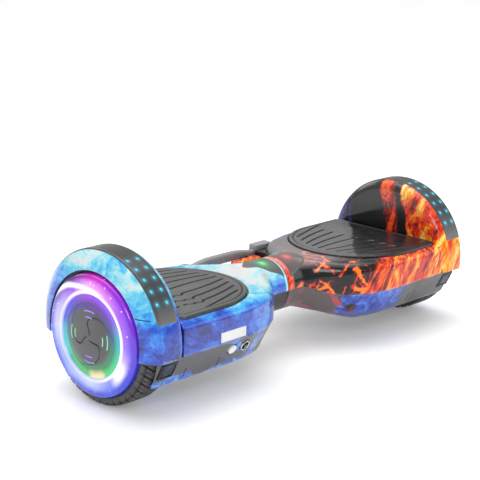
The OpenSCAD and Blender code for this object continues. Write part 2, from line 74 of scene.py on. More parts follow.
AXLE_Z = joint("twist")["pos_m"][2] / MM
TYRE_LOW, TYRE_HIGH = box_mm("tyre_right")
UPPER_LOW, UPPER_HIGH = box_mm("upper_cover_right")
LOWER_LOW, LOWER_HIGH = box_mm("lower_cover_right")
PAD_LOW, PAD_HIGH = box_mm("foot_pad_right")
RING_LOW, RING_HIGH = box_mm("light_ring_right")
HUB_HIGH = box_mm("hub_cover_right")[1]
STRIP_LOW, STRIP_HIGH = box_mm("fender_strip_right")
LAMP_LOW, LAMP_HIGH = box_mm("headlamp_bezel_right")
STRAP_LOW, STRAP_HIGH = box_mm("carry_strap")
BLOCK_LOW, BLOCK_HIGH = box_mm("strap_block_right")
LABEL_LOW, LABEL_HIGH = box_mm("label_plate")
TUBE_HIGH = box_mm("pivot_tube")[1]
LIGHTS_LOW, LIGHTS_HIGH = box_mm("fender_lights_right")

TYRE_R = TYRE_HIGH[2] - AXLE_Z
FENDER_R = UPPER_HIGH[2] - AXLE_Z
RING_R = RING_HIGH[2] - AXLE_Z
HUB_R = HUB_HIGH[2] - AXLE_Z
TUBE_R = TUBE_HIGH[2] - AXLE_Z
HALF_W = LOWER_HIGH[1]
BELLY_Z = LOWER_LOW[2]
START_X = UPPER_LOW[0]
PAD_TOP = PAD_HIGH[2]
DECK_Z = PAD_TOP - 2.5
SEAM_Z = LABEL_LOW[2] - 2
WALL = 3
NECK_R = 34
WELL_R = TYRE_R + 3
WELL_X = TYRE_LOW[0] - 3.5
FENDER_X = WELL_X - WALL
LIP_X = UPPER_HIGH[0]
LIP_R = 74
PAD_R = PAD_HIGH[1]
PAD_CX = PAD_LOW[0] + PAD_R
PAD_END = PAD_HIGH[0]
POCKET_Z = DECK_Z - 6.5
BUMPER_X = LOWER_HIGH[0]


# ---------------------------------------------------------------------------
# Mesh helpers
# ---------------------------------------------------------------------------
def curve(x, points):
    """Smooth monotone curve through [(x, value), ...], evaluated at x."""
    xs, ys = (np.array(c, float) for c in zip(*points))
    step, rise = np.diff(xs), np.diff(ys) / np.diff(xs)
    slope = np.zeros_like(ys)
    same = rise[:-1] * rise[1:] > 0
    slope[1:-1][same] = 2 * rise[:-1][same] * rise[1:][same] / (rise[:-1] + rise[1:])[same]
    x = np.clip(np.asarray(x, float), xs[0], xs[-1])
    i = np.clip(np.searchsorted(xs, x, side="right") - 1, 0, len(xs) - 2)
    t = (x - xs[i]) / step[i]
    return (ys[i] * (1 + 2 * t) * (1 - t) ** 2 + slope[i] * step[i] * t * (1 - t) ** 2
            + ys[i + 1] * t * t * (3 - 2 * t) + slope[i + 1] * step[i] * t * t * (t - 1))


def smooth(value, low, high):
    t = np.clip((np.asarray(value, float) - low) / (high - low), 0, 1)
    return t * t * (3 - 2 * t)


def arc(centre, radius, start, end, count):
    """Points on an arc, with angles in degrees."""
    a = np.radians(np.linspace(start, end, count))
    r = np.broadcast_to(radius, 2)
    return np.column_stack([centre[0] + r[0] * np.cos(a), centre[1] + r[1] * np.sin(a)])


def grid_faces(rows, cols, wrap_rows=False, wrap_cols=False):
    """Quads of a grid of points, listed row by row."""
    r = np.arange(rows if wrap_rows else rows - 1)
    c = np.arange(cols if wrap_cols else cols - 1)
    r, c = (a.ravel() for a in np.meshgrid(r, c, indexing="ij"))
    r1, c1 = (r + 1) % rows, (c + 1) % cols
    return np.column_stack([r * cols + c, r * cols + c1, r1 * cols + c1, r1 * cols + c]).tolist()


def linked(name, data):
    """A new object in the scene."""
    obj = bpy.data.objects.new(name, data)
    bpy.context.scene.collection.objects.link(obj)
    return obj


def from_bmesh(name, bm):
    mesh = bpy.data.meshes.new(name)
    bm.to_mesh(mesh)
    bm.free()
    return linked(name, mesh)


def grid_rim(rows, cols):
    """Indices round the border of a grid of points."""
    rim = list(range(cols)) + [(j + 1) * cols - 1 for j in range(1, rows)]
    return rim + [rows * cols - 2 - i for i in range(cols - 1)] + [(rows - 2 - j) * cols for j in range(rows - 2)]


def rim_faces(rim, offset):
    """Quads from a border to the same border a number of points further on."""
    after = rim[1:] + rim[:1]
    return [[a, b, offset + b, offset + a] for a, b in zip(rim, after)]


def slab_faces(rows, cols):
    """Faces of a thin slab: a grid, the same grid below it, and the wall round them."""
    low = rows * cols
    below = [[low + i for i in f] for f in grid_faces(rows, cols)]
    return grid_faces(rows, cols) + below + rim_faces(grid_rim(rows, cols), low)


def make(name, verts, faces):
    """A mesh object from points in millimetres, with its faces turned outward."""
    mesh = bpy.data.meshes.new(name)
    mesh.from_pydata((np.asarray(verts, float) * MM).tolist(), [], faces)
    obj = linked(name, mesh)
    bm = bmesh.new()
    bm.from_mesh(mesh)
    bmesh.ops.remove_doubles(bm, verts=bm.verts, dist=1e-6)
    bmesh.ops.recalc_face_normals(bm, faces=bm.faces)
    bm.to_mesh(mesh)
    bm.free()
    return obj


def loft(name, rings):
    """A closed solid through rings of points, capped at both ends."""
    rings = np.asarray(rings)
    rows, cols = rings.shape[:2]
    faces = grid_faces(rows, cols, wrap_cols=True)
    faces.append(list(range(cols)))
    faces.append(list(range((rows - 1) * cols, rows * cols)))
    return make(name, rings.reshape(-1, 3), faces)


def revolve(name, profile, count, dip=None):
    """A closed solid of revolution about the axle, from a closed profile of (radius, x) points."""
    profile = np.asarray(profile, float)
    angle = np.arange(count) * 2 * math.pi / count
    r = np.broadcast_to(profile[:, 0], (count, len(profile))).copy()
    x = np.broadcast_to(profile[:, 1], (count, len(profile))).copy()
    a = np.broadcast_to(angle[:, None], r.shape)
    if dip is not None:
        r, x = dip(r, x, a)
    verts = np.stack([x, r * np.cos(a), AXLE_Z + r * np.sin(a)], axis=-1).reshape(-1, 3)
    return make(name, verts, grid_faces(count, len(profile), wrap_rows=True, wrap_cols=True))


def block(low, high, round_r=0.0):
    """A block between two corners, with rounded edges."""
    bm = bmesh.new()
    bmesh.ops.create_cube(bm, size=1)
    low, high = np.array(low, float), np.array(high, float)
    for v in bm.verts:
        v.co = Vector(((low + high) / 2 + (high - low) * np.array(v.co)) * MM)
    if round_r:
        bmesh.ops.bevel(bm, geom=bm.edges[:], offset=round_r * MM, segments=4, profile=0.5, affect="EDGES")
    return from_bmesh("block", bm)


def rod(start, end, r0, r1=None, count=64):
    """A rod or cone between two points."""
    r1 = r0 if r1 is None else r1
    start, end = Vector(start) * MM, Vector(end) * MM
    bm = bmesh.new()
    bmesh.ops.create_cone(bm, cap_ends=True, segments=count, radius1=r0 * MM, radius2=r1 * MM,
                          depth=(end - start).length)
    turn = (end - start).to_track_quat("Z", "Y").to_matrix().to_4x4()
    bmesh.ops.transform(bm, matrix=Matrix.Translation((start + end) / 2) @ turn, verts=bm.verts)
    return from_bmesh("rod", bm)


def prism(outline, z0, z1, flare=0.0, flare_h=0.0):
    """An upright prism over an outline function of a growth, with an outward rounded top."""
    levels = [(z0, 0.0), (z1 - flare_h if flare else z1, 0.0)]
    if flare:
        for a in np.radians(np.linspace(18, 90, 5)):
            levels.append((z1 - flare_h * (1 - math.sin(a)), flare * (1 - math.cos(a))))
    rings = [np.column_stack([p := outline(grow), np.full(len(p), z)]) for z, grow in levels]
    return loft("prism", rings)


def boolean(obj, operation, tools):
    """Joins, cuts or intersects obj with other solids, which are used up."""
    for tool in tools:
        mod = obj.modifiers.new("cut", "BOOLEAN")
        mod.operation, mod.object, mod.solver = operation, tool, "MANIFOLD"
        apply_modifiers(obj)
        bpy.data.objects.remove(tool)
    return obj


def apply_modifiers(obj):
    graph = bpy.context.evaluated_depsgraph_get()
    mesh = bpy.data.meshes.new_from_object(obj.evaluated_get(graph))
    obj.modifiers.clear()
    old, obj.data = obj.data, mesh
    bpy.data.meshes.remove(old)


def soften(obj, degrees=32):
    """Smooth shading with crisp edges where faces meet at more than an angle."""
    bm = bmesh.new()
    bm.from_mesh(obj.data)
    bmesh.ops.remove_doubles(bm, verts=bm.verts, dist=2e-6)
    bmesh.ops.dissolve_degenerate(bm, edges=bm.edges, dist=1e-6)
    for face in bm.faces:
        face.smooth = True
    for edge in bm.edges:
        edge.smooth = edge.calc_face_angle(0) < math.radians(degrees)
    bm.to_mesh(obj.data)
    bm.free()
    return obj


def mirrored(obj, side):
    """Turns a piece that was drawn on the right into one for the given side."""
    if side < 0:
        obj.data.transform(Matrix.Diagonal((-1, 1, 1, 1)))
        obj.data.flip_normals()
    return obj


def place(obj, name, body, slot, material, nodes=(), degrees=32):
    """Names a finished piece, gives it its material and hangs it on its body."""
    soften(obj, degrees)
    obj.name = obj.data.name = name
    obj.data.materials.clear()
    obj.data.materials.append(material)
    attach(obj, body)
    if nodes:
        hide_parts(*nodes)
    return obj


# ---------------------------------------------------------------------------
# Material helper
# ---------------------------------------------------------------------------
class Paint:
    """One procedural material. Every method returns a socket that feeds the next one."""

    def __init__(self, name, **inputs):
        self.material = bpy.data.materials.new(name)
        self.material.use_nodes = True
        self.tree = self.material.node_tree
        self.shader = self.tree.nodes["Principled BSDF"]
        self.set(**inputs)
        self.place = self.node("ShaderNodeTexCoord").outputs["Object"]
        split = self.node("ShaderNodeSeparateXYZ", self.place)
        self.x, self.y, self.z = split.outputs

    def set(self, **inputs):
        """Sets or links the shader's sockets: Base_Color=..., Roughness=..."""
        for name, value in inputs.items():
            self.feed(self.shader.inputs[name.replace("_", " ")], value)
        return self.material

    def feed(self, socket, value):
        if isinstance(value, bpy.types.NodeSocket):
            self.tree.links.new(value, socket)
        elif isinstance(value, tuple) and len(value) == 3 and socket.type == "RGBA":
            socket.default_value = (*value, 1)
        else:
            socket.default_value = value

    def node(self, kind, *values, **settings):
        new = self.tree.nodes.new(kind)
        for key, value in settings.items():
            setattr(new, key, value)
        for socket, value in zip(new.inputs, values):
            if value is not None:
                self.feed(socket, value)
        return new

    def math(self, operation, a, b=0.0, c=0.0):
        return self.node("ShaderNodeMath", a, b, c, operation=operation).outputs[0]

    def add(self, *values):
        total = values[0]
        for value in values[1:]:
            total = self.math("ADD", total, value)
        return total

    def times(self, *values):
        total = values[0]
        for value in values[1:]:
            total = self.math("MULTIPLY", total, value)
        return total

    def most(self, *values):
        """The largest of several values."""
        total = values[0]
        for value in values[1:]:
            total = self.math("MAXIMUM", total, value)
        return total

    def swing(self, value, amount):
        """A 0 to 1 value turned into one that swings about zero."""
        return self.times(self.math("SUBTRACT", value, 0.5), amount)

    def vein(self, value, width, core=0.0):
        """Thin lines where a noise crosses its middle."""
        return self.between(self.math("ABSOLUTE", self.math("SUBTRACT", value, 0.5)), width, core)

    def near(self, value, centre, width):
        """1 at a centre, fading to 0 at a width from it."""
        return self.between(self.math("ABSOLUTE", self.math("SUBTRACT", value, centre)), width, 0.0)

    def distance(self, at):
        return self.node("ShaderNodeVectorMath", self.place, at, operation="DISTANCE").outputs["Value"]

    def vector(self, x, y, z):
        return self.node("ShaderNodeCombineXYZ", x, y, z).outputs[0]

    def between(self, value, low, high, start=0.0, end=1.0):
        """Smooth step of value from low to high, in millimetres or in the value's own unit."""
        return self.node("ShaderNodeMapRange", value, low, high, start, end,
                         interpolation_type="SMOOTHSTEP").outputs[0]

    def mottled(self, low, high, noise, *more):
        """Roughness or tone between two values, broken up by noise of a scale."""
        return self.between(self.noise(noise, *more), 0.3, 0.7, low, high)

    def scaled(self, x=1.0, y=1.0, z=1.0):
        return self.node("ShaderNodeVectorMath", self.place, (x, y, z), operation="MULTIPLY").outputs[0]

    def warped(self, amount, scale, at=None):
        """Coordinates pushed about by noise, amount in metres."""
        at = at or self.place
        push = self.node("ShaderNodeTexNoise", at, None, scale, 3.0, 0.5)
        centred = self.node("ShaderNodeVectorMath", push.outputs["Color"], (0.5, 0.5, 0.5), operation="SUBTRACT")
        moved = self.node("ShaderNodeVectorMath", centred.outputs[0], (amount,) * 3, operation="MULTIPLY")
        return self.node("ShaderNodeVectorMath", at, moved.outputs[0], operation="ADD").outputs[0]

    def noise(self, scale, detail=4.0, rough=0.55, distortion=0.0, at=None):
        new = self.node("ShaderNodeTexNoise", at or self.place)
        new.inputs["Scale"].default_value = scale
        new.inputs["Detail"].default_value = detail
        new.inputs["Roughness"].default_value = rough
        new.inputs["Distortion"].default_value = distortion
        return new.outputs["Fac"]

    def cells(self, scale, feature="DISTANCE_TO_EDGE", at=None):
        new = self.node("ShaderNodeTexVoronoi", at or self.place, feature=feature)
        new.inputs["Scale"].default_value = scale
        return new.outputs["Distance"]

    def ramp(self, value, *stops):
        new = self.node("ShaderNodeValToRGB", value)
        band = new.color_ramp
        for i, (position, colour) in enumerate(stops):
            element = band.elements[i] if i < 2 else band.elements.new(position)
            element.position = position
            element.color = (*colour, 1)
        return new.outputs["Color"]

    def mix(self, amount, a, b, blend="MIX"):
        new = self.node("ShaderNodeMix", data_type="RGBA", blend_type=blend)
        self.feed(new.inputs[0], amount)
        self.feed(new.inputs[6], a)
        self.feed(new.inputs[7], b)
        return new.outputs[2]

    def bump(self, height, strength=0.3, distance=0.0005, under=None):
        new = self.node("ShaderNodeBump")
        new.inputs["Strength"].default_value = strength
        new.inputs["Distance"].default_value = distance
        self.feed(new.inputs["Height"], height)
        if under:
            self.feed(new.inputs["Normal"], under)
        return new.outputs["Normal"]

    def wear(self, scale=60.0):
        """Where edges are rubbed: sharp outward corners, broken up by noise."""
        sharp = self.node("ShaderNodeNewGeometry").outputs["Pointiness"]
        return self.times(self.between(sharp, 0.52, 0.62), self.between(self.noise(scale), 0.35, 0.65))

    def polar(self):
        """(radius in mm, angle in radians) about the axle; the angle is 0 to the front and grows upward."""
        up = self.math("SUBTRACT", self.z, AXLE_Z * MM)
        front = self.math("MULTIPLY", self.y, -1.0)
        radius = self.math("SQRT", self.add(self.times(up, up), self.times(front, front)))
        return self.times(radius, 1 / MM), self.math("ARCTAN2", up, front)


def mm(value):
    return value * MM


# ---------------------------------------------------------------------------
# Camera, lights and floor
# ---------------------------------------------------------------------------
def aim(obj, place, target):
    obj.location = place
    obj.rotation_euler = (Vector(target) - Vector(place)).to_track_quat("-Z", "Y").to_euler()


# Fitted to the photo: azimuth, elevation and roll in degrees, and lens in millimetres on a 36 mm sensor.
CAMERA_TURN = (-47.44, 15.10, 1.54)
CAMERA_TARGET = (-0.05504, 0, 0.14993)
CAMERA_DISTANCE = 1.7359
CAMERA_LENS = 107.65


def make_camera():
    azimuth, elevation, roll = (math.radians(a) for a in CAMERA_TURN)
    away = Vector((math.sin(azimuth) * math.cos(elevation), -math.cos(azimuth) * math.cos(elevation),
                   math.sin(elevation)))
    right = (-away).cross(Vector((0, 0, 1))).normalized()
    up = right.cross(-away)
    right, up = (right * math.cos(roll) + up * math.sin(roll), up * math.cos(roll) - right * math.sin(roll))
    data = bpy.data.cameras.new("camera")
    data.sensor_width, data.lens = 36, CAMERA_LENS
    data.clip_start, data.clip_end = 0.05, 200
    camera = linked("camera", data)
    place = Vector(CAMERA_TARGET) + away * CAMERA_DISTANCE
    camera.matrix_world = Matrix([*zip(right, up, away, place), (0, 0, 0, 1)])
    bpy.context.scene.camera = camera


def make_studio():
    def softbox(name, place, target, width, height, power):
        light = bpy.data.lights.new(name, "AREA")
        light.shape, light.size, light.size_y, light.energy = "RECTANGLE", width, height, power
        aim(linked(name, light), place, target)

    softbox("overhead", (0.2, 0.3, 2.0), (0, 0, 0), 1.6, 0.9, 9)
    softbox("key", (-1.7, -1.5, 1.5), (0, 0, 0.1), 1.2, 0.8, 15)
    softbox("fill", (1.9, -1.5, 0.9), (0, 0, 0.1), 1.2, 1.0, 5)
    softbox("back", (0.4, 2.2, 1.2), (0, 0, 0.1), 2.0, 0.8, 8)
    sky = bpy.data.lights.new("sky", "SUN")
    sky.energy, sky.angle = 1.55, math.radians(75)
    aim(linked("sky", sky), (0.1, 0.35, 2), (0, 0, 0))
    world = bpy.data.worlds.new("studio")
    world.use_nodes = True
    shader = world.node_tree.nodes["Background"]
    shader.inputs["Color"].default_value = (1, 1, 1, 1)
    shader.inputs["Strength"].default_value = 0.44
    bpy.context.scene.world = world
    bpy.context.scene.view_settings.view_transform = "Standard"

    paint = Paint("studio_floor", Roughness=0.42, Emission_Color=(1, 1, 1), Emission_Strength=0.20)
    paint.set(Base_Color=paint.ramp(paint.noise(3.0, 2.0), (0.3, (0.93, 0.93, 0.935)), (0.7, (0.96, 0.96, 0.96))))
    floor = bpy.data.meshes.new("floor")
    floor.from_pydata([(-14, -14, 0), (14, -14, 0), (14, 14, 0), (-14, 14, 0)], [], [(0, 1, 2, 3)])
    floor.materials.append(paint.material)
    linked("floor", floor)


# ---------------------------------------------------------------------------
# Body shape: sections along X, all in millimetres
# ---------------------------------------------------------------------------
HALF_WIDTH = [(0, NECK_R), (27, NECK_R), (40, 41), (52, 54), (72, 72), (98, 85.5), (140, HALF_W), (300, HALF_W)]
TOP = [(0, AXLE_Z + NECK_R), (28, AXLE_Z + NECK_R), (52, 112.5), (78, DECK_Z), (300, DECK_Z)]
SEAM = [(0, AXLE_Z), (24, AXLE_Z), (40, 78), (56, 72), (70, SEAM_Z), (300, SEAM_Z)]
BELLY = [(0, AXLE_Z - NECK_R), (28, AXLE_Z - NECK_R), (52, 44), (72, 38), (98, BELLY_Z), (300, BELLY_Z)]
EDGE_Y = [(0, 33), (28, 33), (52, 30), (72, 24), (98, 19), (300, 19)]
EDGE_Z = [(0, 33), (28, 33), (52, 24), (72, 17), (98, 14), (300, 14)]
BALL_R = [(0, 33.4), (28, 33.4), (52, 18), (72, 12), (300, 12)]
BALL_STEP = [(0, 33.5), (28, 33.5), (52, 26), (300, 26)]
CAVITY_TOP = [(0, AXLE_Z + NECK_R - WALL), (30, AXLE_Z + NECK_R - WALL), (52, 107), (74, POCKET_Z - 2.5),
              (300, POCKET_Z - 2.5)]


def end_round(x, start, end, radius):
    """How far a section pulls in near the rounded ends of a body."""
    near = np.clip((start + radius - x) / radius, 0, 1)
    far = np.clip((x - end + radius) / radius, 0, 1)
    return radius * (2 - np.sqrt(1 - near ** 2) - np.sqrt(1 - far ** 2))


def upper_section(x, inset=0.0, floor=0.0, top=None):
    """Upper half section at x, from the front seam over the deck to the rear seam."""
    hw = curve(x, HALF_WIDTH) - inset
    zt = curve(x, TOP) - inset if top is None else curve(x, top)
    seam = curve(x, SEAM) - floor
    ry = max(curve(x, EDGE_Y) - inset, 2)
    rz = max(min(curve(x, EDGE_Z) - inset, zt - curve(x, SEAM) - 0.4), 2)
    side = np.column_stack([np.full(8, hw), np.linspace(seam, zt - rz, 9)[:-1]])
    a = np.linspace(0, math.pi / 2, 25)
    power = 2 / curve(x, [(28, 2.0), (72, 2.35), (300, 2.35)])
    corner = np.column_stack([hw - ry + ry * np.cos(a) ** power, zt - rz + rz * np.sin(a) ** power])
    flat = np.column_stack([np.linspace(hw - ry, 0, 18)[1:], np.full(17, zt)])
    half = np.vstack([side, corner, flat])
    return np.vstack([half * (-1, 1), half[-2::-1]])


def lower_section(x, inset=0.0, roof=0.0):
    """Lower half section at x, from the front seam under the belly to the rear seam."""
    hw = curve(x, HALF_WIDTH) - inset
    seam = curve(x, SEAM) + min(roof, 0)
    r = max(curve(x, BALL_R) - inset, 2)
    ball = np.array([max(curve(x, HALF_WIDTH) - curve(x, BALL_STEP), 0.3), curve(x, BELLY) + curve(x, BALL_R)])
    start = np.array([hw, seam])
    away = ball - start
    reach = max(np.hypot(*away), r + 0.05)
    tilt = math.atan2(-away[0], -away[1]) if away[1] < -1e-6 else math.pi / 2
    lean = max(tilt - math.asin(min(r / reach, 1)), 0.0) if reach > r + 0.06 else 0.0
    touch = ball + r * np.array([math.cos(lean), -math.sin(lean)])
    side = np.column_stack([np.linspace(start[0], touch[0], 14)[:-1], np.linspace(start[1], touch[1], 14)[:-1]])
    turn = arc(ball, r, -math.degrees(lean), -90, 22)
    flat = np.column_stack([np.linspace(ball[0], 0, 16)[1:], np.full(15, ball[1] - r)])
    half = np.vstack([side, turn, flat])
    if roof > 0:
        half = np.vstack([[(hw, seam + roof)], half])
    return np.vstack([half * (-1, 1), half[-2::-1]])


def along(start, end, step, ends=4.0):
    """Stations from start to end, closer together near both ends."""
    inner = np.linspace(start + ends, end - ends, max(int((end - start) / step), 2))
    edge = np.linspace(0, 1, 7)[1:] ** 1.5 * ends
    return np.concatenate([[start + 0.02], start + edge[:-1], inner, end - edge[:-1][::-1], [end - 0.02]])


def body_solid(section, start, end, round_r, step=3.0, **options):
    rings = []
    for x in along(start, end, step):
        inset = options.get("inset", 0.0) + (float(end_round(x, start, end, round_r)) if round_r else 0.0)
        ring = section(x, **{**options, "inset": inset})
        rings.append(np.column_stack([np.full(len(ring), x), ring]))
    return loft("body", rings)


# ---------------------------------------------------------------------------
# Fender
# ---------------------------------------------------------------------------
BAND_IN, BAND_OUT = FENDER_X + 12, LIP_X - 11.5
SHELL = 2.6


def fender_profile():
    """Closed profile (radius, x) of the fender wall, its band and its outer lip."""
    outer = [(8, FENDER_X), (FENDER_R - 26, FENDER_X), (FENDER_R - 18, FENDER_X + 0.15)]
    outer += [*arc((FENDER_R - 13.2, BAND_IN + 1), (13.2, 13), -84, 0, 14)]
    outer += [(FENDER_R, (BAND_IN + BAND_OUT) / 2)]
    outer += [*arc((FENDER_R - 3.5, BAND_OUT - 2.5), 3.5, 0, 58, 7)]
    top = np.array(outer[-1])
    low = np.array((LIP_R + 0.6, LIP_X - 0.35))
    for t in np.linspace(0, 1, 9)[1:]:
        bow = 1.3 * math.sin(math.pi * t)
        outer.append(tuple(top + (low - top) * t + np.array((bow * 0.55, bow))))
    edge = [*arc((LIP_R + 1.1, LIP_X - 1.4), (1.1, 1.4), 150, 250, 5)]
    inner = []
    for t in np.linspace(0, 1, 7)[1:]:
        bow = 1.3 * math.sin(math.pi * t)
        start = np.array((LIP_R + 1.2, LIP_X - SHELL - 0.2))
        stop = np.array((FENDER_R - SHELL - 2.5, BAND_OUT - SHELL))
        inner.append(tuple(start + (stop - start) * t + np.array((bow * 0.5, bow))))
    inner += [(FENDER_R - SHELL, BAND_OUT - SHELL - 4), (FENDER_R - SHELL, BAND_IN + 1)]
    inner += [*arc((FENDER_R - SHELL - 10.5, BAND_IN + 1), (10.5, 10.2), -10, -90, 8)]
    inner += [(8, WELL_X)]
    return outer + edge + inner


def pad_outline(grow):
    """Plan shape of a foot pad: a round inner end and a square outer end with rounded corners."""
    r = PAD_R + grow
    corner = 9 + grow
    left = arc((PAD_CX, 0), r, 90, 270, 97)
    low = arc((PAD_END + grow - corner, -r + corner), corner, -90, 0, 10)
    high = arc((PAD_END + grow - corner, r - corner), corner, 0, 90, 10)
    return np.vstack([left, low, high])


def on_front(x, z):
    """The point of the leaning lower front face at x and z."""
    ring = lower_section(x)
    pts = ring[: len(ring) // 2]
    pts = pts[pts[:, 1].argsort()]
    return np.array([x, float(np.interp(z, pts[:, 1], pts[:, 0])), z])


LAMP_X = (LAMP_LOW[0] + LAMP_HIGH[0]) / 2
LAMP_H = 22.6
LAMP_MID = (LAMP_LOW[2] + LAMP_HIGH[2]) / 2 - 1.2
BUTTON_LOW, BUTTON_HIGH = box_mm("power_button")
PORT_LOW, PORT_HIGH = box_mm("charge_port")
SPEAKER_LOW, SPEAKER_HIGH = box_mm("speaker_grille")
FRONT_Z = (BUTTON_LOW[2] + BUTTON_HIGH[2]) / 2
BUTTON_X = -(BUTTON_LOW[0] + BUTTON_HIGH[0]) / 2
PORT_X = -(PORT_LOW[0] + PORT_HIGH[0]) / 2
SPEAKER_X = (SPEAKER_LOW[0] + SPEAKER_HIGH[0]) / 2
SPEAKER_Z = (SPEAKER_LOW[2] + SPEAKER_HIGH[2]) / 2
SPEAKER_R = (SPEAKER_HIGH[0] - SPEAKER_LOW[0]) / 2
LEAN = math.radians(25.894)
OUT = np.array([0, -math.cos(LEAN), -math.sin(LEAN)])
UP = np.array([0, -math.sin(LEAN), math.cos(LEAN)])


def front_point(x, z, out=0.0, across=0.0, up=0.0):
    """A point on the CAD's leaning front face, moved out of it, along X and up it."""
    return on_front(x, z) + OUT * out + np.array([across, 0, 0]) + UP * up


def rear_point(*place):
    """The same point on the rear face."""
    return front_point(*place) * (1, -1, 1)


def leaning_block(x, z, w, h, depth0, depth1, round_r):
    """A block set square into the leaning front face, from depth0 to depth1 along its outward normal."""
    obj = block((-w / 2, depth0, -h / 2), (w / 2, depth1, h / 2), round_r)
    turn = Matrix(((1, 0, 0), (0, OUT[1], UP[1]), (0, OUT[2], UP[2]))).to_4x4()
    if turn.determinant() < 0:
        obj.data.flip_normals()
    obj.data.transform(turn)
    obj.data.transform(Matrix.Translation(Vector(on_front(x, z) * MM)))
    return obj


# ---------------------------------------------------------------------------
# Covers
# ---------------------------------------------------------------------------
AXLE_HOLE = 13
POCKET_GAP = 0.8
SCREW_XS = (100, 160, 222)
SCREW_Y = 42
PLUNGER_XS = (140, 172)
PLUNGER_Y = 26


def upper_cover(side):
    name = SIDES[side]
    shell = body_solid(upper_section, START_X, FENDER_X + 1, 1.6)
    fender = revolve("fender", fender_profile(), 240)
    boolean(fender, "DIFFERENCE", [block((0, -300, -300), (400, 300, SEAM_Z))])
    boss = block((BLOCK_LOW[0], 50, AXLE_Z), (BLOCK_HIGH[0], BLOCK_LOW[1] - 0.2, BLOCK_HIGH[2] - 5), 2.5)
    arm = block((8, 62, AXLE_Z), (BLOCK_LOW[0] + 3, 74, AXLE_Z + (8.5 if side < 0 else 13)), 2.0)
    boolean(shell, "UNION", [fender, boss, arm])
    cavity = body_solid(upper_section, START_X + WALL, FENDER_X - 1, 0, step=6, inset=WALL, floor=8, top=CAVITY_TOP)
    pocket = prism(lambda grow: pad_outline(grow + POCKET_GAP), POCKET_Z, DECK_Z + 0.6, 2.6, 2.4)
    tools = [cavity, pocket, rod((-1, 0, AXLE_Z), (20, 0, AXLE_Z), TUBE_R + 4),
             rod((FENDER_X - 5, 0, AXLE_Z), (WELL_X + 2, 0, AXLE_Z), AXLE_HOLE),
             block((FENDER_X - 5, -AXLE_HOLE, 0), (WELL_X + 2, AXLE_HOLE, AXLE_Z))]
    tools += [rod((x, m * PLUNGER_Y, POCKET_Z - 8), (x, m * PLUNGER_Y, POCKET_Z + 4), 6, count=32)
              for x in PLUNGER_XS for m in (-1, 1)]
    # the parting slit beside the wheel, and the drip notches in the lower front edge of the fender
    tools.append(block((LIP_X - 9, -84, 117.4), (LIP_X + 9, -66, 118.6), 0.4))
    tools += [block((x, -110, SEAM_Z - 1), (x + 2.2, -60, SEAM_Z + 3.2), 0.3) for x in (259, 270)]
    boolean(shell, "DIFFERENCE", tools)
    return place(mirrored(shell, side), f"upper_shell_{name}", f"{name}_half",
                 "ice_print_plastic" if side < 0 else "flame_print_plastic", PRINTS[side], [f"upper_cover_{name}"], 24)


def lower_cover(side):
    name = SIDES[side]
    rings = []
    for x in along(START_X, LAMP_HIGH[0] + 2.5, 3.0):
        inset = 0.5 + float(end_round(x, START_X, BUMPER_X + 200, 1.6)) + 7 * (1 - math.sqrt(
            1 - np.clip((x - LAMP_HIGH[0] + 6.5) / 9.2, 0, 1) ** 2))
        ring = lower_section(x, inset, -0.35)
        rings.append(np.column_stack([np.full(len(ring), x), ring]))
    shell = loft("lower", rings)
    cavity = body_solid(lower_section, START_X + WALL, FENDER_X, 0, step=6, inset=WALL + 0.5, roof=12)
    boolean(shell, "DIFFERENCE", [cavity])
    boolean(shell, "UNION", [rod((x, m * SCREW_Y, BELLY_Z + 1.5), (x, m * SCREW_Y, BELLY_Z + 12), 6, count=32)
                             for x in SCREW_XS for m in (-1, 1)])
    tools = [rod((WELL_X, 0, AXLE_Z), (400, 0, AXLE_Z), WELL_R, count=160),
             rod((-1, 0, AXLE_Z), (20, 0, AXLE_Z), TUBE_R + 4),
             block((FENDER_X - 5, -AXLE_HOLE, SEAM_Z - 8), (WELL_X + 2, AXLE_HOLE, AXLE_Z)),
             leaning_block(LAMP_X, LAMP_MID, LAMP_HIGH[0] - LAMP_LOW[0] + 0.6, LAMP_H + 0.8, -3, 8, 2.2)]
    for x in SCREW_XS:
        for m in (-1, 1):
            tools.append(rod((x, m * SCREW_Y, 0), (x, m * SCREW_Y, BELLY_Z + 4), 4.4, count=32))
            tools.append(rod((x, m * SCREW_Y, 0), (x, m * SCREW_Y, BELLY_Z + 14), 1.6, count=16))
    # shallow moulded slots along the lower front edge
    for x in (174, 228) if side < 0 else (112, 183):
        tools.append(leaning_block(x, 46, 2.6, 13, -1.4, 3, 0.8))
    if side < 0:
        for x, r in ((BUTTON_X, 6.9), (PORT_X, 7.1)):
            tools.append(rod(front_point(x, FRONT_Z, -14), front_point(x, FRONT_Z, 8), r))
            tools.append(rod(front_point(x, FRONT_Z, -1.6), front_point(x, FRONT_Z, 1.2), r, r + 3.6))
    else:
        tools.append(rod(rear_point(SPEAKER_X, SPEAKER_Z, -12), rear_point(SPEAKER_X, SPEAKER_Z, 8), SPEAKER_R))
        tools.append(rod(rear_point(SPEAKER_X, SPEAKER_Z, -0.8), rear_point(SPEAKER_X, SPEAKER_Z, 1),
                         SPEAKER_R, SPEAKER_R + 2))
    boolean(shell, "DIFFERENCE", tools)
    return place(mirrored(shell, side), f"lower_shell_{name}", f"{name}_half", f"grey_plastic_{name}",
                 LOWERS[side], [f"lower_cover_{name}"], 24)


# ---------------------------------------------------------------------------
# Fender strip and its lights, headlamp, indicator window
# ---------------------------------------------------------------------------
STRIP_LOW_A = math.degrees(math.asin((STRIP_LOW[2] - AXLE_Z) / (FENDER_R - 1.6)))
LIGHT_A, LIGHT_STEP, LIGHT_ROWS = 32, 9.1, {-1: 5, 1: 6}
LIGHT_XS = (LIGHTS_LOW[0] + 1.8, LIGHTS_HIGH[0] - 1.8)


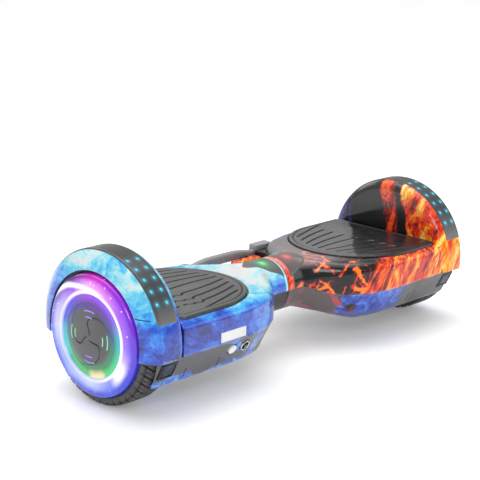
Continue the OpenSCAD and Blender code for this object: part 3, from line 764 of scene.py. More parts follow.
def on_drum(radius, angle, x):
    """A point about the axle; angle in degrees, 0 to the front and growing upward."""
    a = np.radians(angle)
    return np.stack(np.broadcast_arrays(x, -radius * np.cos(a), AXLE_Z + radius * np.sin(a)), axis=-1)


def band_r(x):
    """Radius of the fender's outer surface at x, over its band."""
    inner = np.clip((BAND_IN + 1 - x) / 13, 0, 1)
    outer = np.clip(x - BAND_OUT + 2.5, 0, 3.4)
    return FENDER_R - 13.2 * (1 - np.sqrt(1 - inner ** 2)) - (3.5 - np.sqrt(3.5 ** 2 - outer ** 2))


def fender_strip(side):
    """A smoked band laid into the fender, with softly rounded edges and ends."""
    name = SIDES[side]
    x0, x1 = STRIP_LOW[0] + 0.3, STRIP_HIGH[0] - 0.3
    rings = []
    for a in np.linspace(STRIP_LOW_A, 180 - STRIP_LOW_A, 260):
        end = min(a - STRIP_LOW_A, 180 - STRIP_LOW_A - a) * math.radians(1) * FENDER_R
        corner = 3.0 * (1 - math.sqrt(1 - (1 - min(end / 3.0, 1)) ** 2))
        drop = 0.55 * (1 - math.sqrt(1 - (1 - min(end / 0.9, 1)) ** 2))
        turn = 0.8 * (1 - np.cos(np.linspace(0, math.pi / 2, 5)))
        xs = np.concatenate([x0 + corner + turn, np.linspace(x0 + corner + 1.2, x1 - corner - 1.2, 16),
                             (x1 - corner - turn)[::-1]])
        fall = 0.55 * (1 - np.sin(np.linspace(0, math.pi / 2, 5)))
        rs = band_r(xs) + 0.35 - drop - np.concatenate([fall, np.zeros(16), fall[::-1]])
        top = on_drum(rs, a, xs)
        base = on_drum(np.full(2, FENDER_R - 3.2), a, xs[[-1, 0]])
        rings.append(np.vstack([top, base]))
    obj = loft("strip", rings)
    return place(mirrored(obj, side), f"light_strip_{name}", f"{name}_half", "strip_plastic", STRIP,
                 [f"fender_strip_{name}"])


def fender_lights(side):
    """Small domed lights in two lines along the front of the strip."""
    name = SIDES[side]
    verts, faces = [], []
    profile = arc((0, 0), (1.75, 0.75), 0, 90, 7)
    for row in range(LIGHT_ROWS[side]):
        for x in LIGHT_XS:
            base = len(verts)
            a = math.radians(LIGHT_A + row * LIGHT_STEP)
            out = np.array([0, -math.cos(a), math.sin(a)])
            across = np.array([0, -math.sin(a), -math.cos(a)])
            centre = np.array([x, 0, AXLE_Z]) + out * (FENDER_R + 0.15)
            ring_pts = [(1.75, -0.9)] + [tuple(p) for p in profile[:-1]]
            for r, h in ring_pts:
                for k in range(24):
                    t = 2 * math.pi * k / 24
                    verts.append(centre + out * h + np.array([1, 0, 0]) * r * math.cos(t) + across * r * math.sin(t))
            verts.append(centre + out * 0.75)
            faces += [[base + i for i in f] for f in grid_faces(len(ring_pts), 24, wrap_cols=True)]
            last = base + (len(ring_pts) - 1) * 24
            faces += [[last + k, last + (k + 1) % 24, len(verts) - 1] for k in range(24)]
            faces.append([base + k for k in range(24)])
    obj = make("lights", verts, faces)
    return place(mirrored(obj, side), f"light_domes_{name}", f"{name}_half", "cyan_led", LIGHT,
                 [f"fender_lights_{name}"], 60)


def headlamp(side):
    name = SIDES[side]
    w, h = LAMP_HIGH[0] - LAMP_LOW[0] - 0.2, LAMP_H
    frame_obj = leaning_block(LAMP_X, LAMP_MID, w, h, -2.6, 0.45, 1.9)
    boolean(frame_obj, "DIFFERENCE", [leaning_block(LAMP_X, LAMP_MID, w - 4.4, h - 4.8, -1.6, 5, 2.4)])
    place(mirrored(frame_obj, side), f"headlamp_frame_{name}", f"{name}_half", "black_plastic", GLOSS_BLACK,
          [f"headlamp_bezel_{name}"])
    # the clear lens is a shallow dome, and a fluted reflector shows behind it
    n, verts = 25, []
    for j in range(n):
        for i in range(n):
            u, v = 2 * i / (n - 1) - 1, 2 * j / (n - 1) - 1
            edge = max(abs(u), abs(v))
            su, sv = u * math.sqrt(1 - v * v * 0.14), v * math.sqrt(1 - u * u * 0.14)
            bulge = -0.9 + 1.2 * math.sqrt(max(1 - edge ** 4, 0)) + 0.12 * math.cos(u * 22)
            verts.append(front_point(LAMP_X, LAMP_MID, bulge, su * (w / 2 - 2.3), sv * (h / 2 - 2.5)))
    verts += [v - OUT * 1.2 for v in verts]
    lens = mirrored(make("lens", verts, slab_faces(n, n)), side)
    place(lens, f"headlamp_glass_{name}", f"{name}_half", "lamp_lens", LENS, [f"headlamp_lens_{name}"], 50)


def neck_point(x, angle, out):
    """A point over the upper cover near the waist; angle in degrees, 0 to the front, 90 on top."""
    ring = upper_section(x)
    centre = np.array([0, curve(x, SEAM)])
    spans = np.degrees(np.arctan2(ring[:, 1] - centre[1], -(ring[:, 0] - centre[0])))
    order = np.argsort(spans)
    reach = np.hypot(ring[:, 0] - centre[0], ring[:, 1] - centre[1])
    r = np.interp(angle, spans[order], reach[order]) + out
    a = math.radians(angle)
    return np.array([x, centre[0] - r * math.cos(a), centre[1] + r * math.sin(a)])


# edge of each leaf: (angle about the axle, how far it reaches along X)
LEAF = {
    -1: [(30, 5.2), (38, 10), (50, 24), (64, 33), (80, 44), (92, 47), (104, 40), (116, 24), (126, 5.2)],
    1: [(26, 8.2), (36, 22), (46, 33), (60, 42), (76, 49), (90, 52), (104, 49), (118, 38), (134, 8.2)],
}
LEAF_START = {-1: 4.5, 1: 7.5}


def indicator_window(side):
    """A smoked leaf that follows the neck, with the signal light glowing through it."""
    name = SIDES[side]
    rows, cols, verts, start = 49, 33, [], LEAF_START[side]
    angles = np.linspace(LEAF[side][0][0], LEAF[side][-1][0], rows)
    for a in angles:
        reach = float(curve(a, LEAF[side]))
        for u in np.linspace(0, 1, cols):
            x = start + (reach - start) * u
            edge = min(1 - u, u + 0.4, (a - angles[0]) / 12, (angles[-1] - a) / 12) * 6
            verts.append(neck_point(x, a, 0.55 * math.sqrt(max(1 - (1 - min(edge, 1)) ** 2, 0)) - 0.1))
    for a in angles:
        reach = float(curve(a, LEAF[side]))
        for u in np.linspace(0, 1, cols):
            verts.append(neck_point(start + (reach - start) * u, a, -0.9))
    leaf = mirrored(make("leaf", verts, slab_faces(rows, cols)), side)
    place(leaf, f"smoked_leaf_{name}", f"{name}_half", "smoked_plastic", SMOKE[side], [f"indicator_window_{name}"], 50)


# ---------------------------------------------------------------------------
# Foot pads
# ---------------------------------------------------------------------------
GROOVE_W, GROOVE_H = 1.8, 1.6


def pad_grooves(side):
    """Polylines of the tread: a fan of long lines, each ending in a hook, with short waves beyond."""
    lines = []
    for y0 in np.arange(-66, 60, 13.2):
        slope = 0.27 * math.tanh(y0 / 28)
        inner = PAD_CX - math.sqrt(max((PAD_R - 9) ** 2 - y0 ** 2, 100)) + 7
        far = 173 if abs(y0) < 40 else 231 - 45 * (abs(y0) > 60)
        xs = np.linspace(inner, far, 9)
        bow = 2.2 * np.sin((xs - inner) / (far - inner) * math.pi) * np.sign(y0)
        line = np.column_stack([xs, y0 + slope * (xs - 107) + bow])
        lines.append(line)
        end = line[-1]
        if abs(y0) < 40:
            if side < 0 or y0 < 0:
                lines.append(end + [(0, 0), (3.5, 2.0 * np.sign(y0 + 1)), (5, 4.2 * np.sign(y0 + 1))])
            if side < 0:
                wave = [(8, -4.5), (14, -1.2), (19, -2.8), (26, 1.6), (31, 0.8)]
                lines.append(end + wave)
                lines.append(np.array([end + (38, 1.5), (231, end[1] + 4.5 + slope * 30)]))
    return [np.asarray(line, float) for line in lines]


def distance_to(points, lines):
    best = np.full(len(points), 1e9)
    for line in lines:
        for a, b in zip(line[:-1], line[1:]):
            d = b - a
            t = np.clip(((points - a) @ d) / (d @ d), 0, 1)
            best = np.minimum(best, np.hypot(*(points - a - t[:, None] * d).T))
    return best


def foot_pad(side):
    """Moulded rubber pad with a rolled edge, an outline groove and the grooved tread."""
    name = SIDES[side]
    step = 0.8
    outline = pad_outline(0)
    x0, x1, y0, y1 = PAD_LOW[0] - 0.2, PAD_END + 0.2, -PAD_R - 0.2, PAD_R + 0.2
    xs, ys = np.arange(x0, x1 + step, step), np.arange(y0, y1 + step, step)
    gx, gy = np.meshgrid(xs, ys, indexing="ij")
    points = np.column_stack([gx.ravel(), gy.ravel()])
    edge = distance_to(points, [np.vstack([outline, outline[:1]])])
    groove = distance_to(points, pad_grooves(side))
    z = np.full(len(points), PAD_TOP)
    roll = np.clip(1 - edge / 2.4, 0, 1)
    z -= 2.4 * (1 - np.sqrt(1 - roll ** 2)) * 0.9
    z -= 0.9 * np.clip(1 - ((edge - 6.0) / 1.3) ** 2, 0, 1)
    inside = smooth(edge, 8.0, 9.5)
    z -= inside * GROOVE_H * np.clip(1 - (groove / GROOVE_W) ** 2, 0, 1) ** 0.6
    rows, cols = gx.shape
    top = np.column_stack([points, z])
    base = np.column_stack([points, np.full(len(points), PAD_TOP - 7)])
    n = len(points)
    rim = grid_rim(rows, cols)
    faces = grid_faces(rows, cols) + rim_faces(rim, n) + [[n + i for i in rim[::-1]]]
    used = np.array(sorted(set(rim)))
    remap = {n + int(i): n + k for k, i in enumerate(used)}
    faces = [[remap.get(i, i) for i in f] for f in faces]
    plate = make("pad", np.vstack([top, base[used]]), faces)
    boolean(plate, "INTERSECT", [prism(pad_outline, PAD_TOP - 6.9, PAD_TOP + 3)])
    return place(mirrored(plate, side), f"rubber_pad_{name}", f"{name}_pad", "pad_rubber", PADS[side],
                 [f"foot_pad_{name}"], 40)


# ---------------------------------------------------------------------------
# Wheels
# ---------------------------------------------------------------------------
TREAD_PITCHES = 44
RIM_R = 68
RIM_OUT = RING_LOW[0]


def tread_dip(r, x, a):
    """Sinks the tread grooves into the tyre: three lines round it and slanted cuts between them."""
    middle, half = (TYRE_LOW[0] + TYRE_HIGH[0]) / 2, (TYRE_HIGH[0] - TYRE_LOW[0]) / 2
    s = (x - middle) / half
    on_tread = smooth(r, TYRE_R - 7.5, TYRE_R - 4.5)
    turn = a / (2 * math.pi) * TREAD_PITCHES
    zigzag = 0.05 * np.abs(np.mod(turn, 1) - 0.5) * 4 - 0.05

    def cut(distance, width):
        return np.clip(1 - (distance / width) ** 2, 0, 1) ** 0.5

    depth = cut(np.abs(s) - 0.36 - zigzag, 0.055)
    depth = np.maximum(depth, cut(s - zigzag * 0.7, 0.05))
    pitch_mm = 2 * math.pi * TYRE_R / TREAD_PITCHES
    shift = np.where(s > 0, 0.0, 0.5)
    slant = np.abs(s) * 1.15 + shift
    lateral = np.abs(np.mod(turn + slant, 1) - 0.5) * pitch_mm
    depth = np.maximum(depth, cut(lateral, 1.15) * (np.abs(s) > 0.03))
    fine = np.abs(np.mod(turn + slant + 0.5, 1) - 0.5) * pitch_mm
    depth = np.maximum(depth, 0.55 * cut(fine, 0.6) * ((np.abs(s) > 0.42) & (np.abs(s) < 0.8)))
    return r - 2.3 * depth * on_tread, x


def tyre(side):
    name = SIDES[side]
    x0, x1 = TYRE_LOW[0], TYRE_HIGH[0]
    crown = [(TYRE_R - 9, x0 + 0.0)]
    crown += [*arc((TYRE_R - 5, x0 + 5), 5, 250, 350, 9)]
    for x in np.linspace(x0 + 6, x1 - 7, 44):
        s = (x - (x0 + x1) / 2) / ((x1 - x0) / 2)
        crown.append((TYRE_R - 0.9 * s ** 4 - 0.1 * s * s, x))
    crown += [*arc((TYRE_R - 9, x1 - 9), 9, 15, 92, 12)]
    wall_out = [(RING_R + 1.4, x1 - 0.5), (RING_R + 0.6, RIM_OUT + 0.3)]
    bead = [(RIM_R, RIM_OUT), (RIM_R, RIM_OUT - 2.5), (RIM_R - 2, RIM_OUT - 4),
            (RIM_R - 2, x0 + 7.5), (RIM_R, x0 + 6), (RIM_R, x0 + 2.5)]
    count = 44 * 20
    obj = revolve("tyre", crown + wall_out + bead, count, tread_dip)
    return place(mirrored(obj, side), f"tread_tyre_{name}", f"{name}_wheel", "tyre_rubber", TYRE, [f"tyre_{name}"], 40)


def light_ring(side):
    """Lit dish of the wheel: rolled outer edge, shallow bowl and a step down to the inner disc."""
    name = SIDES[side]
    edge, crest = RING_HIGH[0] - 3.4, RING_HIGH[0] - 0.5
    profile = [(HUB_R, RIM_OUT), (RING_R - 0.5, RIM_OUT + 0.2), (RING_R, RIM_OUT + 1.5)]
    profile += [*arc((RING_R - 6, edge - 3), (6, 5.2), 0, 88, 14)]
    profile += [(RING_R - 10, edge + 2.8), (RING_R - 16, crest - 0.9), (HUB_R + 14, crest - 0.5)]
    profile += [*arc((HUB_R + 12.2, crest - 0.9), (1.6, 1.2), 30, 180, 7)]
    profile += [(HUB_R + 9.8, crest - 2.0), (HUB_R + 6, crest - 1.7), (HUB_R + 2.5, crest - 0.9), (HUB_R, crest - 0.6)]
    obj = revolve("ring", profile, 240)
    return place(mirrored(obj, side), f"glow_ring_{name}", f"{name}_wheel", "light_ring_plastic", RING,
                 [f"light_ring_{name}"], 50)


DOME_FALL, DOME_POWER = 3.6, 2.4


def hub_height(r, a):
    """Height of the hub dome over (radius, angle): three winding grooves and shallow light slits."""
    t = r / HUB_R
    z = HUB_HIGH[0] - DOME_FALL * t ** DOME_POWER
    swirl = a + 0.95 * np.sin(t * math.pi * 1.25) - 0.3
    gap = np.abs(np.mod(swirl / (2 * math.pi) * 3 + 0.5, 1) - 0.5) * 2 * math.pi * r / 3
    groove = np.clip(1 - (gap / 1.0) ** 2, 0, 1) * smooth(t, 0.06, 0.14) * smooth(1.0 - t, 0.0, 0.04)
    return z - 0.95 * np.sqrt(groove)


def hub_cover(side):
    name = SIDES[side]
    rows, cols = 58, 240
    rs = HUB_R * np.concatenate([[0.004], np.linspace(0.02, 0.985, rows - 4), [0.995, 1.0, 1.0]])
    a = np.arange(cols) * 2 * math.pi / cols
    rr, aa = np.meshgrid(rs, a, indexing="ij")
    h = hub_height(rr, aa)
    h[-2] -= 0.35
    h[-1] = RIM_OUT
    verts = np.stack([h, rr * np.cos(aa), AXLE_Z + rr * np.sin(aa)], axis=-1).reshape(-1, 3)
    faces = grid_faces(rows, cols, wrap_cols=True)
    faces.append(list(range(cols)))
    faces.append(list(range((rows - 1) * cols, rows * cols)))
    obj = make("hub", verts, faces)
    # raised bars beside the grooves, in four pairs
    for base in (90, 180, 270, 0):
        for r0 in (0.60, 0.78):
            boolean(obj, "UNION", [arc_bar(r0 * HUB_R, base, 34 - 6 * (r0 < 0.7), 2.1)])
    return place(mirrored(obj, side), f"hub_dome_{name}", f"{name}_wheel", "hub_plastic", HUB,
                 [f"hub_cover_{name}"], 40)


def arc_bar(radius, middle, span, width):
    """A short curved bar that stands a little proud of the hub dome."""
    rings = []
    for a in np.linspace(middle - span / 2, middle + span / 2, 19):
        end = (1 - abs(a - middle) / (span / 2)) * math.radians(span / 2) * radius
        w = width / 2 * math.sqrt(1 - (1 - min(end / (width / 2), 1)) ** 2) + 0.02
        t = math.radians(a)
        top = float(HUB_HIGH[0] - DOME_FALL * (radius / HUB_R) ** DOME_POWER)
        ring = []
        for u in np.linspace(0, math.pi, 7):
            rho = radius + w * math.cos(u)
            ring.append((top + 0.45 * math.sin(u) - 0.05, rho * math.cos(t), AXLE_Z + rho * math.sin(t)))
        ring += [(top - 1.0, (radius - w) * math.cos(t), AXLE_Z + (radius - w) * math.sin(t)),
                 (top - 1.0, (radius + w) * math.cos(t), AXLE_Z + (radius + w) * math.sin(t))]
        rings.append(ring)
    return loft("bar", rings)


# ---------------------------------------------------------------------------
# Carry strap, its blocks and small fittings
# ---------------------------------------------------------------------------
STRAP_H = 12.4
STRAP_END_TOP = BLOCK_HIGH[2] - 6


def carry_strap():
    """Moulded grip: a flat top and a rounded underside, kinked where it meets the blocks."""
    top, y0, y1 = STRAP_HIGH[2], STRAP_LOW[1], STRAP_HIGH[1]
    kink, end = 31, STRAP_HIGH[0]
    xs = np.linspace(-end, end, 161)
    centre = curve(np.abs(xs), [(0, top), (kink - 7, top - 0.1), (kink + 5, top - 1.2), (56, STRAP_END_TOP),
                                (end, STRAP_END_TOP)])
    rings = []
    for x, zt in zip(xs, centre):
        slim = 1 - 0.12 * math.exp(-((abs(x) - kink - 14) / 12) ** 2)
        h, w = STRAP_H * slim, (y1 - y0) * slim
        yc = (y0 + y1) / 2
        zc = zt - h / 2
        a = np.linspace(0, 2 * math.pi, 41)[:-1]
        n = 2 / 3.2
        ring_y = yc + w / 2 * np.sign(np.cos(a)) * np.abs(np.cos(a)) ** n
        ring_z = zc + h / 2 * np.sign(np.sin(a)) * np.abs(np.sin(a)) ** n
        grip = 0.25 * (0.5 + 0.5 * math.cos(x * 2 * math.pi / 4.0)) * float(smooth(kink - 4 - abs(x), 0, 4))
        rings.append(np.column_stack([np.full(40, x), ring_y, ring_z - grip * (np.sin(a) < -0.3)]))
    obj = loft("strap", rings)
    soften(obj, 40)
    obj.name = obj.data.name = "grip_strap"
    obj.data.materials.append(STRAP)
    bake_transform(obj)
    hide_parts("carry_strap")
    return obj


def strap_block(side):
    name = SIDES[side]
    low, high = BLOCK_LOW + 0.1, BLOCK_HIGH - 0.1
    low, high = (low + (5, 0, 2.2), high + (3, 0, 0)) if side > 0 else (low, high - (0, 0, 4.2))
    obj = block(low, high, 1.5)
    mouth = block((low[0] - 5, STRAP_LOW[1] - 0.1, STRAP_END_TOP - STRAP_H - 0.2),
                  (STRAP_HIGH[0] + 0.4, STRAP_HIGH[1] + 0.1, STRAP_END_TOP + 0.2), 0.8)
    boolean(obj, "DIFFERENCE", [mouth, body_solid(upper_section, BLOCK_LOW[0] - 12, BLOCK_HIGH[0] + 30, 0, inset=-0.15,
                                                  floor=5)])
    return place(mirrored(obj, side), f"strap_socket_{name}", f"{name}_half", "strap_plastic", SOCKET,
                 [f"strap_block_{name}"])


def strap_clip():
    """Glossy black spring clip under the kink of the strap, on the right half."""
    path = [(18, 86), (27, 89.5), (33, 93.5), (37, 95), (42, 93.6), (49, 91), (57, 88.6), (64, 87)]
    rings = []
    keys, ts = np.linspace(0, 1, len(path)), np.linspace(0, 1, 36)
    line = np.column_stack([curve(ts, list(zip(keys, values))) for values in zip(*path)])
    for i, (x, z) in enumerate(line):
        d = line[min(i + 1, 35)] - line[max(i - 1, 0)]
        d = d / max(np.hypot(*d), 1e-6)
        normal = np.array([-d[1], d[0]])
        ring = []
        for a in np.linspace(0, 2 * math.pi, 17)[:-1]:
            off = 2.4 * math.sin(a)
            ring.append((x + normal[0] * off, 75.6 + 2.4 * math.cos(a), z + normal[1] * off))
        rings.append(ring)
    return place(loft("clip", rings), "strap_clip", "right_half", "black_plastic", GLOSS_BLACK)


def power_button():
    r = (BUTTON_HIGH[0] - BUTTON_LOW[0]) / 2 - 0.6
    profile = [(0.3, -5), (r, -5), (r, 0.1), *arc((r - 0.9, 0.1), 0.9, 15, 90, 6), (r * 0.75, 0.8), (r * 0.5, 0.55),
               (0.3, 0.45)]
    return place(mirrored(loft("button", turned_on_front(BUTTON_X, profile)), -1), "button_cap", "power_button",
                 "white_plastic", WHITE_GLOSS, ["power_button"])


def charge_port():
    """Plated socket shell with a dark insulator and three pins."""
    r = (PORT_HIGH[0] - PORT_LOW[0]) / 2 - 0.05
    shell = loft("port", turned_on_front(PORT_X, [(0.3, -12.8), (r, -12.8), (r, 0.4), (r - 0.4, 0.9), (r - 1.0, 0.9),
                                                  (r - 1.4, 0.5), (r - 1.4, -8), (0.3, -8)]))
    place(mirrored(shell, -1), "socket_shell", "left_half", "port_chrome", CHROME, ["charge_port"])
    for k, a in enumerate((90, 210, 330)):
        t = math.radians(a)
        pin = rod(front_point(PORT_X, FRONT_Z, -9, 2.4 * math.cos(t), 2.4 * math.sin(t)),
                  front_point(PORT_X, FRONT_Z, -2.6, 2.4 * math.cos(t), 2.4 * math.sin(t)), 0.75, count=20)
        place(mirrored(pin, -1), f"socket_pin_{k}", "left_half", "port_chrome", CHROME)
    disc = loft("disc", turned_on_front(PORT_X, [(0.2, -8.2), (r - 1.5, -8.2), (r - 1.5, -5.6), (0.2, -5.4)]))
    place(mirrored(disc, -1), "socket_insulator", "left_half", "black_plastic", GLOSS_BLACK)


def turned_on_front(x, profile, count=48):
    """Rings of a turned shape whose axis stands on the leaning front face."""
    angles = np.linspace(0, 2 * math.pi, count + 1)[:-1]
    return [[front_point(x, FRONT_Z, out, rho * math.cos(a), rho * math.sin(a)) for a in angles]
            for rho, out in profile]


def label_plate():
    """Blank sticker, a rectangle with small rounded corners."""
    x0, x1, z0, z1 = -LABEL_HIGH[0], -LABEL_LOW[0], LABEL_LOW[2], LABEL_HIGH[2]
    obj = block((x0 + 0.3, LABEL_LOW[1] + 0.02, z0 + 0.2), (x1 - 0.3, LABEL_HIGH[1] + 0.3, z1 - 0.2), 0.16)
    return place(mirrored(obj, -1), "blank_label", "left_half", "white_label", LABEL, ["label_plate"])


def speaker_grille():
    """Dished grille with rows of round holes."""
    r = SPEAKER_R - 0.3
    disc = loft("grille", [[rear_point(SPEAKER_X, SPEAKER_Z, out, rho * math.cos(a), rho * math.sin(a))
                            for a in np.linspace(0, 2 * math.pi, 65)[:-1]]
                           for rho, out in [(0.2, -2.6), (r, -2.6), (r, -0.5), (r - 0.5, -0.15), (r - 1.6, -0.15),
                                            (r - 2.4, -0.7), (r * 0.5, -0.5), (0.2, -0.4)]])
    holes = []
    for ring, count in ((0, 1), (3.2, 6), (6.4, 12), (9.6, 18)):
        for k in range(count):
            a = 2 * math.pi * k / count
            at = ring * math.cos(a), ring * math.sin(a)
            holes.append(rod(rear_point(SPEAKER_X, SPEAKER_Z, -4, *at), rear_point(SPEAKER_X, SPEAKER_Z, 2, *at),
                             1.0, count=12))
    joined = holes[0]
    for hole in holes[1:]:
        merge(joined, hole)
    boolean(disc, "DIFFERENCE", [joined])
    return place(disc, "speaker_cover", "right_half", "black_plastic", SATIN_BLACK, ["speaker_grille"])


def merge(target, other):
    """Adds another solid's mesh to target; the two don't touch."""
    bm = bmesh.new()
    bm.from_mesh(target.data)
    bm.from_mesh(other.data)
    bm.to_mesh(target.data)
    bm.free()
    bpy.data.objects.remove(other)


# ---------------------------------------------------------------------------
# Materials of the visible pieces
# ---------------------------------------------------------------------------
def fine_grain(paint, scale=900.0, strength=0.12, distance=0.0002):
    """Moulded plastic grain as a bump."""
    return paint.bump(paint.noise(scale, 3.0), strength, distance)


def orange_peel(paint):
    """The faint waviness of a glossy coat."""
    return paint.bump(paint.noise(140.0, 2.0), 0.05, 0.0004)


def glossy(paint, base, rough=0.16, coat=0.6):
    """Clear coated print: gloss with faint smears, orange peel and rubbed edges."""
    smear = paint.noise(26.0, 5.0, 0.65)
    worn = paint.wear()
    colour = paint.mix(paint.times(worn, 0.35), base, (0.75, 0.78, 0.8))
    shine = paint.add(paint.between(smear, 0.35, 0.75, rough, rough + 0.12), paint.times(worn, 0.2))
    return paint.set(Base_Color=colour, Roughness=shine, Normal=orange_peel(paint), Coat_Weight=coat,
                     Coat_Roughness=0.06)


def ice_print():
    """Marbled print from cream and aqua at the waist to royal and navy blue down the front."""
    p = Paint("ice_print")
    ax = p.math("ABSOLUTE", p.x)
    flow = p.warped(0.06, 9.0)
    fine = p.warped(0.022, 30.0, flow)
    big = p.noise(15.0, 7.0, 0.64, 1.0, at=flow)
    small = p.noise(42.0, 8.0, 0.72, 1.6, at=fine)
    streak = p.noise(26.0, 7.0, 0.66, 1.0, at=p.node("ShaderNodeVectorMath", flow, (0.7, 1.0, 2.6),
                                                     operation="MULTIPLY").outputs[0])
    fender = p.between(ax, mm(238), mm(246))
    body = p.math("SUBTRACT", 1.0, fender)
    rise = p.times(fender, p.between(p.z, mm(88), mm(168)), 0.44)
    deck = p.times(body, p.between(p.z, mm(96), mm(110)), p.between(p.y, mm(-92), mm(-66), 0.35, 1.0), 0.44)
    waist = p.times(p.between(ax, mm(104), mm(52)), p.between(p.z, mm(62), mm(96)), 0.16)
    wall = p.times(p.between(ax, mm(243), mm(238)), p.between(p.z, mm(118), mm(130)), -0.12)
    tone = p.add(0.235, rise, deck, waist, wall, p.swing(big, 1.15),
                 p.swing(small, 0.85), p.swing(streak, 0.55))
    colour = p.ramp(tone, (0.0, (0.003, 0.008, 0.11)), (0.12, (0.006, 0.03, 0.33)), (0.25, (0.012, 0.09, 0.62)),
                    (0.38, (0.02, 0.22, 0.80)), (0.50, (0.05, 0.40, 0.86)), (0.62, (0.13, 0.60, 0.85)),
                    (0.74, (0.38, 0.78, 0.84)), (0.84, (0.66, 0.80, 0.82)), (0.95, (0.82, 0.72, 0.70)))
    thread = p.noise(20.0, 6.0, 0.6, 0.8, at=fine)
    ridge = p.vein(thread, 0.022)
    colour = p.mix(p.times(ridge, p.between(big, 0.44, 0.62), 0.34), colour, (0.22, 0.66, 0.86))
    rim = p.times(p.between(ax, mm(6.0), mm(4.4)), 0.95)
    colour = p.mix(rim, colour, (0.42, 0.90, 0.94))
    return glossy(p, colour)


def flame_print():
    """Glossy black with flames that grow toward the wheel, and lava cracks at the waist."""
    p = Paint("flame_print", Specular_IOR_Level=0.35)
    lean = p.vector(p.add(p.x, p.times(p.z, -0.55)), p.add(p.y, p.times(p.z, 0.12)), p.times(p.z, 0.30))
    flow = p.warped(0.030, 15.0, lean)
    body = p.noise(34.0, 8.0, 0.70, 1.3, at=flow)
    tongue = p.noise(95.0, 6.0, 0.72, 1.6, at=flow)
    thread = p.noise(46.0, 5.0, 0.62, 1.2, at=flow)
    patch = p.noise(15.0, 4.0, 0.6, 0.6, at=p.warped(0.05, 10.0))
    ripple = p.swing(patch, mm(1.0))
    front = p.between(p.y, mm(-54), mm(-86))
    start = p.add(p.x, p.times(p.z, -0.45), p.times(ripple, 90.0))
    face = p.times(front, p.between(start, mm(28), mm(92)))
    fender = p.between(p.x, mm(236), mm(240))
    across = p.add(p.y, p.times(p.z, -0.20), p.times(ripple, 22.0), mm(21.2))
    wall = p.times(fender, p.between(across, mm(-26), mm(-36)))
    ribbon = p.times(fender, p.between(across, mm(-25), mm(-19)), p.between(across, mm(9), mm(1)), 0.78)
    band = p.times(p.between(p.x, mm(279), mm(283)), p.between(p.y, mm(40), mm(-20)), 0.85)
    rear = p.times(p.between(p.y, mm(40), mm(86)), p.between(patch, 0.50, 0.62), p.between(p.x, mm(90), mm(190)), 0.55)
    arm = p.times(p.between(p.y, mm(58), mm(61)), p.between(p.x, mm(55.5), mm(53)))
    mask = p.most(face, wall, arm, band, ribbon, rear)
    ridge = p.vein(thread, 0.035)
    heat = p.add(p.swing(body, 2.7), p.swing(tongue, 1.2),
                 p.times(ridge, mask, 0.16), p.times(mask, 1.03), p.times(wall, 0.13), -0.50)
    heat = p.math("MINIMUM", heat, p.add(0.62, wall, face, arm, p.times(band, 0.3)))
    fire = p.ramp(heat, (0.05, (0.0, 0.0, 0.0)), (0.20, (0.05, 0.001, 0.0)), (0.33, (0.30, 0.004, 0.0)),
                  (0.45, (0.72, 0.014, 0.0)), (0.57, (0.90, 0.065, 0.001)), (0.69, (0.96, 0.20, 0.002)),
                  (0.82, (0.98, 0.47, 0.012)), (0.97, (0.98, 0.82, 0.22)))
    # lava cracks over the shoulder by the waist, and its hot rim
    crack = p.cells(40.0, at=p.warped(0.028, 24.0))
    fine = p.cells(95.0, at=p.warped(0.016, 44.0))
    zone = p.times(p.between(p.x, mm(104), mm(86)), p.between(p.x, mm(30), mm(50)), p.between(p.y, mm(18), mm(-10)),
                   p.between(p.z, mm(66), mm(76)))
    zone = p.times(zone, p.between(patch, 0.38, 0.50))
    foot = p.times(p.between(p.x, mm(72), mm(48)), p.between(p.z, mm(94), mm(80)),
                   p.between(p.y, mm(-16), mm(-30)), 1.15)
    zone = p.most(zone, foot)
    glow = p.add(p.between(crack, 0.12, 0.0), p.times(p.between(fine, 0.11, 0.0), 0.50),
                 p.swing(tongue, 1.6), p.swing(body, 0.9))
    lava = p.ramp(p.times(glow, zone), (0.18, (0.0, 0.0, 0.0)), (0.36, (0.34, 0.005, 0.0)),
                  (0.58, (0.88, 0.045, 0.001)), (0.85, (0.98, 0.26, 0.01)))
    rim = p.between(p.x, mm(12.0), mm(8.5))
    lava = p.mix(rim, lava, p.ramp(tongue, (0.36, (0.22, 0.003, 0.0)), (0.48, (0.74, 0.018, 0.001)),
                                   (0.58, (0.94, 0.12, 0.004)), (0.68, (0.98, 0.50, 0.05))))
    # grey bloom on the inner shoulder with faint red streaks, charcoal high on the fender, and a blue glint behind
    top = p.between(p.z, mm(101), mm(109))
    shoulder = p.times(p.between(p.x, mm(190), mm(110)), top, p.between(p.y, mm(-62), mm(-20)), 0.9)
    streak = p.between(p.noise(70.0, 5.0, 0.6, 0.4, at=p.scaled(0.22, 1.0, 1.0)), 0.55, 0.64)
    streak = p.times(streak, p.between(p.y, mm(50), mm(-10)), 0.6)
    ground = p.mix(shoulder, (0.008, 0.008, 0.009), p.mix(streak, (0.23, 0.21, 0.22), (0.60, 0.06, 0.04)))
    ground = p.mix(p.times(fender, p.between(p.z, mm(128), mm(150)), p.between(p.x, mm(252), mm(244))), ground,
                   (0.035, 0.034, 0.034))
    line = p.vein(patch, 0.03)
    glint = p.times(p.between(p.y, mm(58), mm(70)), p.between(p.x, mm(190), mm(236)), line)
    edge = p.times(p.between(p.y, mm(66), mm(84)), top, p.between(p.x, mm(246), mm(238)), 0.7)
    ground = p.mix(p.most(glint, edge), ground, (0.09, 0.10, 0.46))
    colour = p.mix(1.0, ground, p.mix(1.0, fire, lava, "ADD"), "ADD")
    return glossy(p, colour, 0.10, 0.3)


